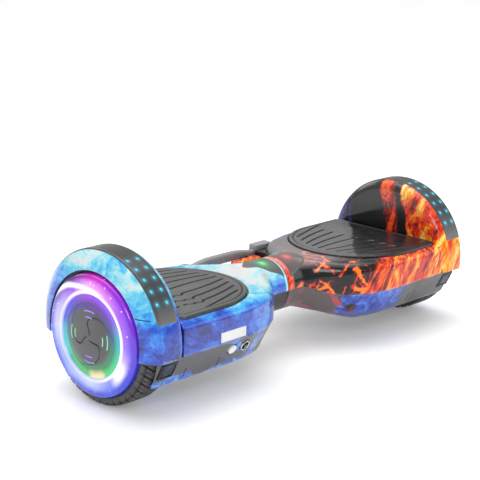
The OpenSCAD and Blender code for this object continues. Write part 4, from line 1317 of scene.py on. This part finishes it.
def lower_grey(side):
    """Satin dark grey, with the print fading over its edges."""
    p = Paint(f"lower_grey_{SIDES[side]}")
    ax = p.math("ABSOLUTE", p.x)
    patch = p.noise(20.0, 6.0, 0.66, 1.0, at=p.warped(0.04, 14.0))
    fine = p.noise(60.0, 6.0, 0.72, 1.2, at=p.warped(0.02, 40.0))
    grey = p.ramp(p.noise(7.0, 3.0), (0.3, (0.078, 0.078, 0.082)), (0.7, (0.108, 0.107, 0.112)))
    if side < 0:
        grey = p.mix(p.between(ax, mm(58), mm(40)), grey, (0.016, 0.016, 0.018))
        ports = p.times(p.between(ax, mm(190), mm(172)), p.between(ax, mm(96), mm(112)),
                        p.between(p.y, mm(-50), mm(-72)), 0.14)
        base = p.times(p.between(p.z, mm(42), mm(35)), p.between(p.y, mm(-60), mm(-75)), 0.18)
        lamp = p.times(p.between(ax, mm(212), mm(222)), p.between(p.z, mm(48), mm(40)), 0.25)
        amount = p.times(p.between(p.add(patch, ports, base, lamp), 0.58, 0.68), 0.92)
        ink = p.ramp(fine, (0.34, (0.02, 0.05, 0.42)), (0.48, (0.05, 0.16, 0.72)), (0.6, (0.22, 0.50, 0.90)),
                     (0.7, (0.50, 0.50, 0.85)))
    else:
        blue = p.times(p.between(p.add(p.x, p.times(patch, mm(50))), mm(90), mm(100)),
                       p.between(p.add(p.x, p.times(patch, mm(60))), mm(206), mm(186)),
                       p.between(p.y, mm(-20), mm(-60)))
        blue = p.times(blue, p.between(p.add(p.z, p.times(patch, mm(34))), mm(48), mm(68), 0.25, 1.0))
        vein = p.vein(patch, 0.022, 0.004)
        bolt = p.times(p.between(p.math("ABSOLUTE", p.add(p.x, p.times(p.z, 0.9), mm(-124), p.times(fine, mm(12)))),
                                 mm(3.4), mm(1.6)), p.between(p.z, mm(52), mm(57)), p.between(p.y, mm(-40), mm(-60)))
        red = p.math("MAXIMUM", p.times(p.between(p.x, mm(92), mm(74)), vein, 0.8), bolt)
        base = p.times(p.between(p.x, mm(92), mm(70)), p.between(p.z, mm(44), mm(38)), p.between(fine, 0.45, 0.6), 0.7)
        red = p.most(red, base)
        grey = p.mix(p.between(p.x, mm(100), mm(70)), grey, (0.105, 0.085, 0.08))
        grey = p.mix(p.between(p.x, mm(184), mm(192)), grey, (0.055, 0.055, 0.058))
        spot = p.distance((mm(80), mm(-68), mm(50)))
        spot = p.between(p.add(spot, p.times(patch, mm(10))), mm(15), mm(11))
        grey = p.mix(spot, grey, p.ramp(fine, (0.50, (0.010, 0.009, 0.009)), (0.58, (0.5, 0.04, 0.01))))
        amount = p.math("MAXIMUM", p.times(blue, 0.92, p.math("SUBTRACT", 1.0, spot)), red)
        ink = p.ramp(fine, (0.36, (0.006, 0.012, 0.18)), (0.50, (0.014, 0.06, 0.52)), (0.64, (0.10, 0.30, 0.84)))
        ink = p.mix(red, ink, (0.62, 0.045, 0.02))
    worn = p.wear()
    colour = p.mix(p.times(worn, 0.4), p.mix(amount, grey, ink), (0.45, 0.45, 0.46))
    rough = p.add(p.mottled(0.28, 0.40, 40.0, 4.0), p.times(worn, 0.15))
    return p.set(Base_Color=colour, Roughness=rough, Normal=fine_grain(p), Coat_Weight=0.15, Coat_Roughness=0.2)


def pad_rubber(side):
    """Satin moulded rubber; painted shade darkens the grooves and a thin line round the pad's edge, and the ridges are
    rubbed lighter.
    """
    p = Paint(f"pad_rubber_{SIDES[side]}")
    low, high = (0.084, 0.114) if side < 0 else (0.110, 0.145)
    tone = p.ramp(p.noise(22.0, 4.0), (0.3, (low * 1.02, low, low)), (0.7, (high * 1.02, high, high)))
    beyond = p.math("MINIMUM", p.math("SUBTRACT", p.math("ABSOLUTE", p.x), mm(PAD_CX)), 0.0)
    reach = p.math("SQRT", p.add(p.times(beyond, beyond), p.times(p.y, p.y)))
    margin = p.math("MINIMUM", p.math("SUBTRACT", mm(PAD_R), reach),
                    p.math("SUBTRACT", mm(PAD_END), p.math("ABSOLUTE", p.x)))
    inner = p.between(margin, mm(2.0), mm(3.4))
    # painted shade: the sunk grooves and a thin line at the pad's edge turn near black
    sunk = p.times(p.between(p.z, mm(PAD_TOP - 0.15), mm(PAD_TOP - 0.70)), inner)
    edge_shade = p.times(p.between(margin, mm(1.1), mm(0.2)), 0.75)
    colour = p.mix(p.most(sunk, edge_shade), tone, (0.006, 0.006, 0.007))
    rough = p.mottled(0.42, 0.56, 70.0, 4.0)
    if side > 0:
        edge = p.add(p.x, p.times(p.y, -1.156), p.times(p.noise(55.0, 4.0), mm(26)))
        dark = p.between(edge, mm(174), mm(182))
        colour = p.mix(p.times(dark, 0.94), colour, (0.006, 0.006, 0.007))
        rough = p.add(rough, p.times(dark, -0.20))
    worn = p.wear(90.0)
    colour = p.mix(p.times(worn, 0.3), colour, (0.34, 0.34, 0.34))
    return p.set(Base_Color=colour, Roughness=rough, Normal=fine_grain(p, 1300.0, 0.2, 0.0002))


def strip_smoke():
    """Smoked band with a soft cyan halo round every light."""
    p = Paint("strip_smoke", Coat_Weight=0.25, Coat_Roughness=0.15)
    radius, angle = p.polar()
    degrees = p.times(angle, 180 / math.pi)
    row = p.math("DIVIDE", p.math("SUBTRACT", degrees, float(LIGHT_A)), float(LIGHT_STEP))
    last = p.math("ADD", p.math("GREATER_THAN", p.x, 0.0), float(LIGHT_ROWS[-1] - 1))
    nearest = p.math("MINIMUM", p.math("MAXIMUM", p.math("ROUND", row), 0.0), last)
    along = p.times(p.math("SUBTRACT", row, nearest), math.radians(LIGHT_STEP) * FENDER_R)
    ax = p.times(p.math("ABSOLUTE", p.x), 1 / MM)
    across = p.math("MINIMUM", p.math("ABSOLUTE", p.math("SUBTRACT", ax, float(LIGHT_XS[0]))),
                    p.math("ABSOLUTE", p.math("SUBTRACT", ax, float(LIGHT_XS[1]))))
    square = p.add(p.times(along, along), p.times(across, across))
    halo = p.math("EXPONENT", p.times(square, -1 / 3.0 ** 2))
    wide = p.math("EXPONENT", p.times(square, -1 / 6.5 ** 2))
    base = p.ramp(p.math("DIVIDE", degrees, 60.0), (0.31, (0.15, 0.15, 0.145)), (0.50, (0.034, 0.035, 0.038)),
                  (1.0, (0.040, 0.040, 0.042)))
    rough = p.mottled(0.32, 0.42, 60.0, 4.0)
    glow = p.add(p.times(halo, 0.55), p.times(wide, 0.07))
    return p.set(Base_Color=base, Roughness=rough, Normal=fine_grain(p, 700.0, 0.06),
                 Emission_Color=(0.05, 0.50, 0.72), Emission_Strength=glow)


def lit(name, colour, strength, edge_colour):
    """A lit dome: bright core and deeper colour where the dome falls away."""
    p = Paint(name, Roughness=0.25)
    fall = p.node("ShaderNodeNewGeometry").outputs["Pointiness"]
    tint = p.mix(p.between(fall, 0.5, 0.6), edge_colour, colour)
    return p.set(Base_Color=tint, Emission_Color=tint, Emission_Strength=strength,
                 Normal=p.bump(p.noise(2000.0, 2.0), 0.05, 0.0001))


def moulded(name, dark, light, rough=0.4, coat=0.0, grain=900.0, strength=0.12, worn_colour=(0.4, 0.4, 0.4),
            shine_level=0.5):
    """Moulded plastic or rubber in one tone, mottled, grained and rubbed at its edges."""
    p = Paint(name, Coat_Weight=coat, Coat_Roughness=0.08, Specular_IOR_Level=shine_level)
    worn = p.wear()
    tone = p.mix(p.between(p.noise(25.0, 4.0), 0.3, 0.7), dark, light)
    shine = p.mottled(rough - 0.05, rough + 0.07, 55.0, 4.0)
    return p.set(Base_Color=p.mix(p.times(worn, 0.45), tone, worn_colour), Roughness=shine,
                 Normal=fine_grain(p, grain, strength))


def metal(name, dark, light, rough=0.3, stretch=(1.0, 1.0, 1.0), scale=500.0, strength=0.1):
    """Turned, cast or drawn metal: streaked or speckled tone, with worn bright edges."""
    p = Paint(name, Metallic=1.0)
    coords = p.scaled(*stretch)
    grain = p.noise(scale, 4.0, 0.6, at=coords)
    worn = p.wear()
    tone = p.mix(p.between(grain, 0.3, 0.7), dark, light)
    shine = p.add(p.mottled(rough - 0.07, rough + 0.1, 30.0, 4.0), p.times(worn, -0.08))
    return p.set(Base_Color=p.mix(p.times(worn, 0.5), tone, light), Roughness=shine,
                 Normal=p.bump(grain, strength, 0.0002))


def headlamp_lens():
    """Deep blue clear lens with vertical flutes and a faint cell behind it."""
    p = Paint("headlamp_lens", Coat_Weight=0.3, Coat_Roughness=0.03, Specular_IOR_Level=0.15)
    flute = p.math("SINE", p.times(p.x, 2400.0))
    tone = p.ramp(p.noise(90.0, 3.0, at=p.warped(0.006, 60.0)), (0.38, (0.002, 0.007, 0.022)),
                  (0.55, (0.004, 0.022, 0.062)), (0.72, (0.012, 0.085, 0.16)))
    shade = p.between(p.z, mm(44), mm(58), 0.35, 1.0)
    return p.set(Base_Color=p.mix(shade, (0.002, 0.004, 0.012), tone), Normal=p.bump(flute, 0.25, 0.0003),
                 Roughness=p.between(flute, -1.0, 1.0, 0.07, 0.14))


def smoke(side):
    """Smoked leaf with the signal light glowing from below."""
    p = Paint(f"smoke_{SIDES[side]}", Coat_Weight=0.3, Coat_Roughness=0.18)
    gap = p.distance((side * 22.5 * MM, -7.5 * MM, 0.1145))
    square = p.times(gap, gap)
    core = p.math("EXPONENT", p.times(square, -1 / mm(5.0) ** 2))
    haze = p.math("EXPONENT", p.times(square, -1 / mm(12.0) ** 2))
    tint = (0.05, 0.85, 0.20) if side < 0 else (0.95, 0.05, 0.03)
    tone = p.ramp(p.noise(20.0, 3.0), (0.3, (0.085, 0.088, 0.090)), (0.7, (0.12, 0.12, 0.122)))
    glow = p.add(p.times(core, 0.95), p.times(haze, 0.22))
    return p.set(Base_Color=tone, Roughness=p.mottled(0.30, 0.40, 80.0, 4.0),
                 Normal=fine_grain(p, 800.0, 0.08), Emission_Color=tint, Emission_Strength=glow)


def tyre_rubber():
    """Dark rubber: painted shade in the tread grooves, smoother on the wall."""
    p = Paint("tyre_rubber")
    radius, _ = p.polar()
    tread = p.between(radius, TYRE_R - 5.0, TYRE_R - 2.5)
    tone = p.ramp(p.noise(35.0, 5.0, 0.65), (0.3, (0.050, 0.049, 0.050)), (0.7, (0.092, 0.09, 0.091)))
    # painted shade: the tread turns near black at the depth of its groove bottoms
    ground = p.mix(p.times(tread, p.between(radius, TYRE_R - 1.2, TYRE_R - 2.2)), tone, (0.018, 0.017, 0.017))
    rough = p.mottled(0.55, 0.72, 90.0, 4.0)
    grain = p.noise(1500.0, 3.0)
    return p.set(Base_Color=p.mix(p.times(p.wear(120.0), 0.4), ground, (0.2, 0.2, 0.2)), Roughness=rough,
                 Normal=p.bump(grain, 0.3, 0.0002))


def light_ring_glow():
    """Lit disc: a white spiral over violet and magenta, pale blue below, and a rainbow round the hub."""
    p = Paint("light_ring_glow", Roughness=0.22, Coat_Weight=0.6, Coat_Roughness=0.08)
    radius, angle = p.polar()
    r = p.times(radius, 1 / RING_R)
    turn = p.math("DIVIDE", p.add(angle, math.pi), 2 * math.pi)
    wisps = p.math("SUBTRACT", p.noise(38.0, 4.0, 0.6, 0.6), 0.5)
    middle = p.ramp(turn, (0.0, (0.44, 0.46, 0.86)), (0.11, (0.22, 0.30, 0.84)), (0.25, (0.42, 0.48, 0.86)),
                    (0.35, (0.14, 0.17, 0.78)), (0.42, (0.56, 0.50, 0.92)), (0.50, (0.25, 0.10, 0.86)),
                    (0.60, (0.26, 0.03, 0.84)), (0.70, (0.62, 0.18, 0.88)), (0.77, (0.66, 0.32, 0.90)),
                    (0.84, (0.26, 0.04, 0.72)), (0.92, (0.40, 0.34, 0.84)), (1.0, (0.44, 0.46, 0.86)))
    outside = p.ramp(turn, (0.0, (0.04, 0.06, 0.50)), (0.25, (0.015, 0.03, 0.45)), (0.36, (0.01, 0.04, 0.50)),
                     (0.50, (0.07, 0.02, 0.48)), (0.65, (0.22, 0.01, 0.50)), (0.74, (0.48, 0.01, 0.42)),
                     (0.82, (0.09, 0.004, 0.18)), (0.92, (0.06, 0.01, 0.24)), (1.0, (0.04, 0.06, 0.50)))
    colour = p.mix(p.between(p.add(r, p.times(wisps, 0.16)), 0.78, 0.97), middle, outside)
    # white: a ring round the inner disc, an arm that opens to the rim on the left, and a pool low on the right
    line = p.near(r, 0.715, 0.052)
    line = p.times(line, p.math("MAXIMUM", p.between(p.math("COSINE", p.add(angle, -0.6)), -0.6, 0.3, 0.34, 1.0), 0.0))
    opening = p.between(turn, 0.72, 0.97, 0.73, 1.04)
    arm = p.near(r, p.add(opening, p.times(wisps, 0.05)), 0.075)
    arm = p.times(arm, p.between(turn, 0.66, 0.74), 1.0)
    pool = p.times(p.near(turn, 0.405, 0.065),
                   p.between(r, 0.95, 0.82), p.between(r, 0.68, 0.74))
    white = p.math("MINIMUM", p.math("MAXIMUM", p.most(line, arm), p.times(pool, 0.9)), 1.0)
    colour = p.mix(white, colour, (0.93, 0.90, 0.97))
    stars = p.node("ShaderNodeTexVoronoi", p.place, feature="F1")
    stars.inputs["Scale"].default_value = 170.0
    sparkle = p.times(p.between(stars.outputs["Distance"], 0.22, 0.10),
                      p.between(p.node("ShaderNodeSeparateColor", stars.outputs["Color"]).outputs[0], 0.76, 0.80),
                      p.between(r, 0.78, 0.84), p.between(turn, 0.46, 0.52))
    colour = p.mix(p.times(sparkle, 0.8), colour, (1.0, 0.62, 0.95))
    rainbow = p.ramp(turn, (0.0, (0.01, 0.34, 0.46)), (0.07, (0.01, 0.52, 0.42)), (0.13, (0.01, 0.36, 0.11)),
                     (0.23, (0.03, 0.42, 0.08)), (0.255, (0.62, 0.60, 0.34)), (0.315, (0.70, 0.62, 0.30)),
                     (0.34, (0.03, 0.50, 0.12)), (0.44, (0.02, 0.46, 0.22)), (0.52, (0.02, 0.36, 0.44)),
                     (0.60, (0.20, 0.06, 0.70)), (0.72, (0.22, 0.04, 0.66)), (0.80, (0.20, 0.03, 0.50)),
                     (0.88, (0.03, 0.02, 0.50)), (0.96, (0.02, 0.06, 0.52)), (1.0, (0.01, 0.34, 0.46)))
    shade = p.between(radius, float(HUB_R - 2), float(HUB_R + 8), 0.30, 1.0)
    inner = p.mix(1.0, rainbow, p.node("ShaderNodeCombineColor", shade, shade, shade).outputs[0], "MULTIPLY")
    colour = p.mix(p.between(radius, float(HUB_R + 9.0), float(HUB_R + 11)), inner, colour)
    return p.set(Base_Color=colour, Emission_Color=colour, Emission_Strength=0.42,
                 Normal=p.bump(p.noise(300.0, 2.0), 0.05, 0.0003))


def hub_plastic():
    """Dark grey dome with lit bars, green to the sides and violet above and below, and a coloured glow at its edge."""
    p = Paint("hub_plastic", Coat_Weight=0.15, Coat_Roughness=0.2)
    radius, angle = p.polar()
    height = p.times(p.math("ABSOLUTE", p.x), 1 / MM)
    fall = p.times(p.math("POWER", p.math("DIVIDE", radius, float(HUB_R)), DOME_POWER), DOME_FALL)
    dome = p.math("SUBTRACT", float(HUB_HIGH[0]), fall)
    proud = p.math("SUBTRACT", height, dome)
    bar = p.between(proud, 0.12, 0.25)
    sunk = p.between(proud, -0.25, -0.6)
    side_on = p.math("ABSOLUTE", p.math("COSINE", angle))
    tint = p.mix(p.between(side_on, 0.55, 0.75), (0.26, 0.20, 0.72), (0.22, 0.58, 0.34))
    edge = p.between(radius, float(HUB_R - 9), float(HUB_R))
    turn = p.math("DIVIDE", p.add(angle, math.pi), 2 * math.pi)
    halo_tint = p.ramp(turn, (0.0, (0.01, 0.18, 0.30)), (0.12, (0.01, 0.30, 0.10)), (0.30, (0.02, 0.34, 0.06)),
                       (0.46, (0.01, 0.26, 0.16)), (0.56, (0.04, 0.10, 0.36)), (0.68, (0.14, 0.03, 0.44)),
                       (0.85, (0.06, 0.02, 0.36)), (1.0, (0.01, 0.18, 0.30)))
    tone = p.ramp(p.noise(24.0, 4.0), (0.3, (0.076, 0.076, 0.082)), (0.7, (0.100, 0.100, 0.106)))
    tone = p.mix(sunk, tone, (0.006, 0.006, 0.008))
    tone = p.mix(p.times(edge, 0.6), tone, halo_tint)
    colour = p.mix(bar, tone, tint)
    glow = p.math("MAXIMUM", p.times(bar, 0.30), p.times(edge, 0.30))
    return p.set(Base_Color=colour, Roughness=p.mottled(0.34, 0.46, 70.0, 4.0),
                 Normal=fine_grain(p), Emission_Color=p.mix(bar, halo_tint, tint), Emission_Strength=glow)


def circuit_board():
    """Green solder mask with fine copper tracks."""
    p = Paint("circuit_board", Coat_Weight=0.4, Coat_Roughness=0.15)
    track = p.cells(220.0, at=p.scaled(1.0, 1.0, 0.1))
    tone = p.ramp(track, (0.02, (0.10, 0.22, 0.07)), (0.09, (0.010, 0.10, 0.035)), (0.5, (0.014, 0.13, 0.05)))
    return p.set(Base_Color=tone, Roughness=p.mottled(0.3, 0.45, 120.0),
                 Normal=p.bump(track, 0.2, 0.0002))


# ---------------------------------------------------------------------------
# Build
# ---------------------------------------------------------------------------
PRINTS = {-1: ice_print(), 1: flame_print()}
LOWERS = {side: lower_grey(side) for side in SIDES}
PADS = {side: pad_rubber(side) for side in SIDES}
SMOKE = {side: smoke(side) for side in SIDES}
STRIP = strip_smoke()
LIGHT = lit("light_domes", (0.08, 0.62, 0.78), 0.75, (0.03, 0.40, 0.58))
GLOSS_BLACK = moulded("gloss_black", (0.004, 0.004, 0.005), (0.009, 0.009, 0.010), 0.14, coat=0.12, grain=200.0,
                      strength=0.03, worn_colour=(0.1, 0.1, 0.1), shine_level=0.3)
SATIN_BLACK = moulded("satin_black", (0.014, 0.014, 0.015), (0.026, 0.026, 0.027), 0.38)
LENS = headlamp_lens()
TYRE = tyre_rubber()
RING = light_ring_glow()
HUB = hub_plastic()
STRAP = moulded("strap_rubber", (0.250, 0.243, 0.243), (0.310, 0.300, 0.300), 0.50, grain=1400.0, strength=0.2)
SOCKET = moulded("strap_socket", (0.270, 0.263, 0.263), (0.330, 0.320, 0.320), 0.48)
WHITE_GLOSS = moulded("white_gloss", (0.78, 0.79, 0.80), (0.86, 0.87, 0.88), 0.20, coat=0.6, grain=300.0,
                      strength=0.03, worn_colour=(0.6, 0.6, 0.6))
CHROME = metal("port_chrome", (0.62, 0.63, 0.66), (0.80, 0.81, 0.83), 0.16, scale=300.0, strength=0.03)
LABEL = moulded("blank_label", (0.80, 0.80, 0.80), (0.88, 0.88, 0.87), 0.42, grain=600.0, strength=0.08,
                worn_colour=(0.7, 0.7, 0.68))

for side in SIDES:
    for build in (upper_cover, lower_cover, fender_strip, fender_lights, headlamp, indicator_window, foot_pad, tyre,
                  light_ring, hub_cover, strap_block):
        build(side)
carry_strap()
strap_clip()
power_button()
charge_port()
label_plate()
speaker_grille()

# materials of the parts carried over from the CAD, slot by slot
INNER = {
    "green_led": lit("green_led", (0.25, 1.0, 0.35), 2.5, (0.02, 0.5, 0.05)),
    "red_led": lit("red_led", (1.0, 0.16, 0.08), 2.5, (0.6, 0.01, 0.01)),
    "cast_aluminium": metal("cast_aluminium", (0.42, 0.43, 0.45), (0.60, 0.61, 0.62), 0.45, scale=420.0,
                            strength=0.35),
    "steel": metal("steel", (0.45, 0.46, 0.48), (0.66, 0.67, 0.69), 0.24, stretch=(1.0, 8.0, 8.0), scale=260.0),
    "winding_copper": metal("winding_copper", (0.62, 0.20, 0.07), (0.90, 0.42, 0.20), 0.28, stretch=(10.0, 1.0, 1.0),
                            scale=300.0, strength=0.4),
    "rim_aluminium": metal("rim_aluminium", (0.50, 0.51, 0.53), (0.70, 0.71, 0.72), 0.30, stretch=(12.0, 1.0, 1.0),
                           scale=150.0),
    "magnet_nickel": metal("magnet_nickel", (0.55, 0.53, 0.49), (0.72, 0.70, 0.66), 0.18),
    "circuit_board": circuit_board(),
    "screw_black": metal("screw_black", (0.03, 0.03, 0.032), (0.10, 0.10, 0.105), 0.38, scale=700.0),
    "bush_brass": metal("bush_brass", (0.55, 0.36, 0.12), (0.80, 0.58, 0.24), 0.26, stretch=(8.0, 1.0, 1.0)),
    "battery_wrap": moulded("battery_wrap", (0.01, 0.05, 0.24), (0.015, 0.08, 0.34), 0.22, coat=0.5, grain=150.0,
                            strength=0.25),
    "black_rubber": moulded("black_rubber", (0.02, 0.02, 0.02), (0.035, 0.035, 0.036), 0.6, grain=1200.0,
                            strength=0.3),
    "black_plastic": SATIN_BLACK,
}
CARRIED = [f"{part}_{name}" for name in SIDES.values() for part in (
    "pad_plungers", "indicator_led", "chassis", "axle_clamp", "clamp_bolts", "motor_axle", "stator", "wheel_rim",
    "magnets", "wheel_bearings", "gyro_board", "cover_screws")]
CARRIED += ["pivot_tube", "pivot_bush", "retaining_ring", "main_board", "battery_pack", "speaker"]
for node_name in CARRIED:
    for carried_slot in bpy.data.objects[node_name].material_slots:
        carried_slot.material = INNER[carried_slot.material.name.split(".")[0]]

make_camera()
make_studio()
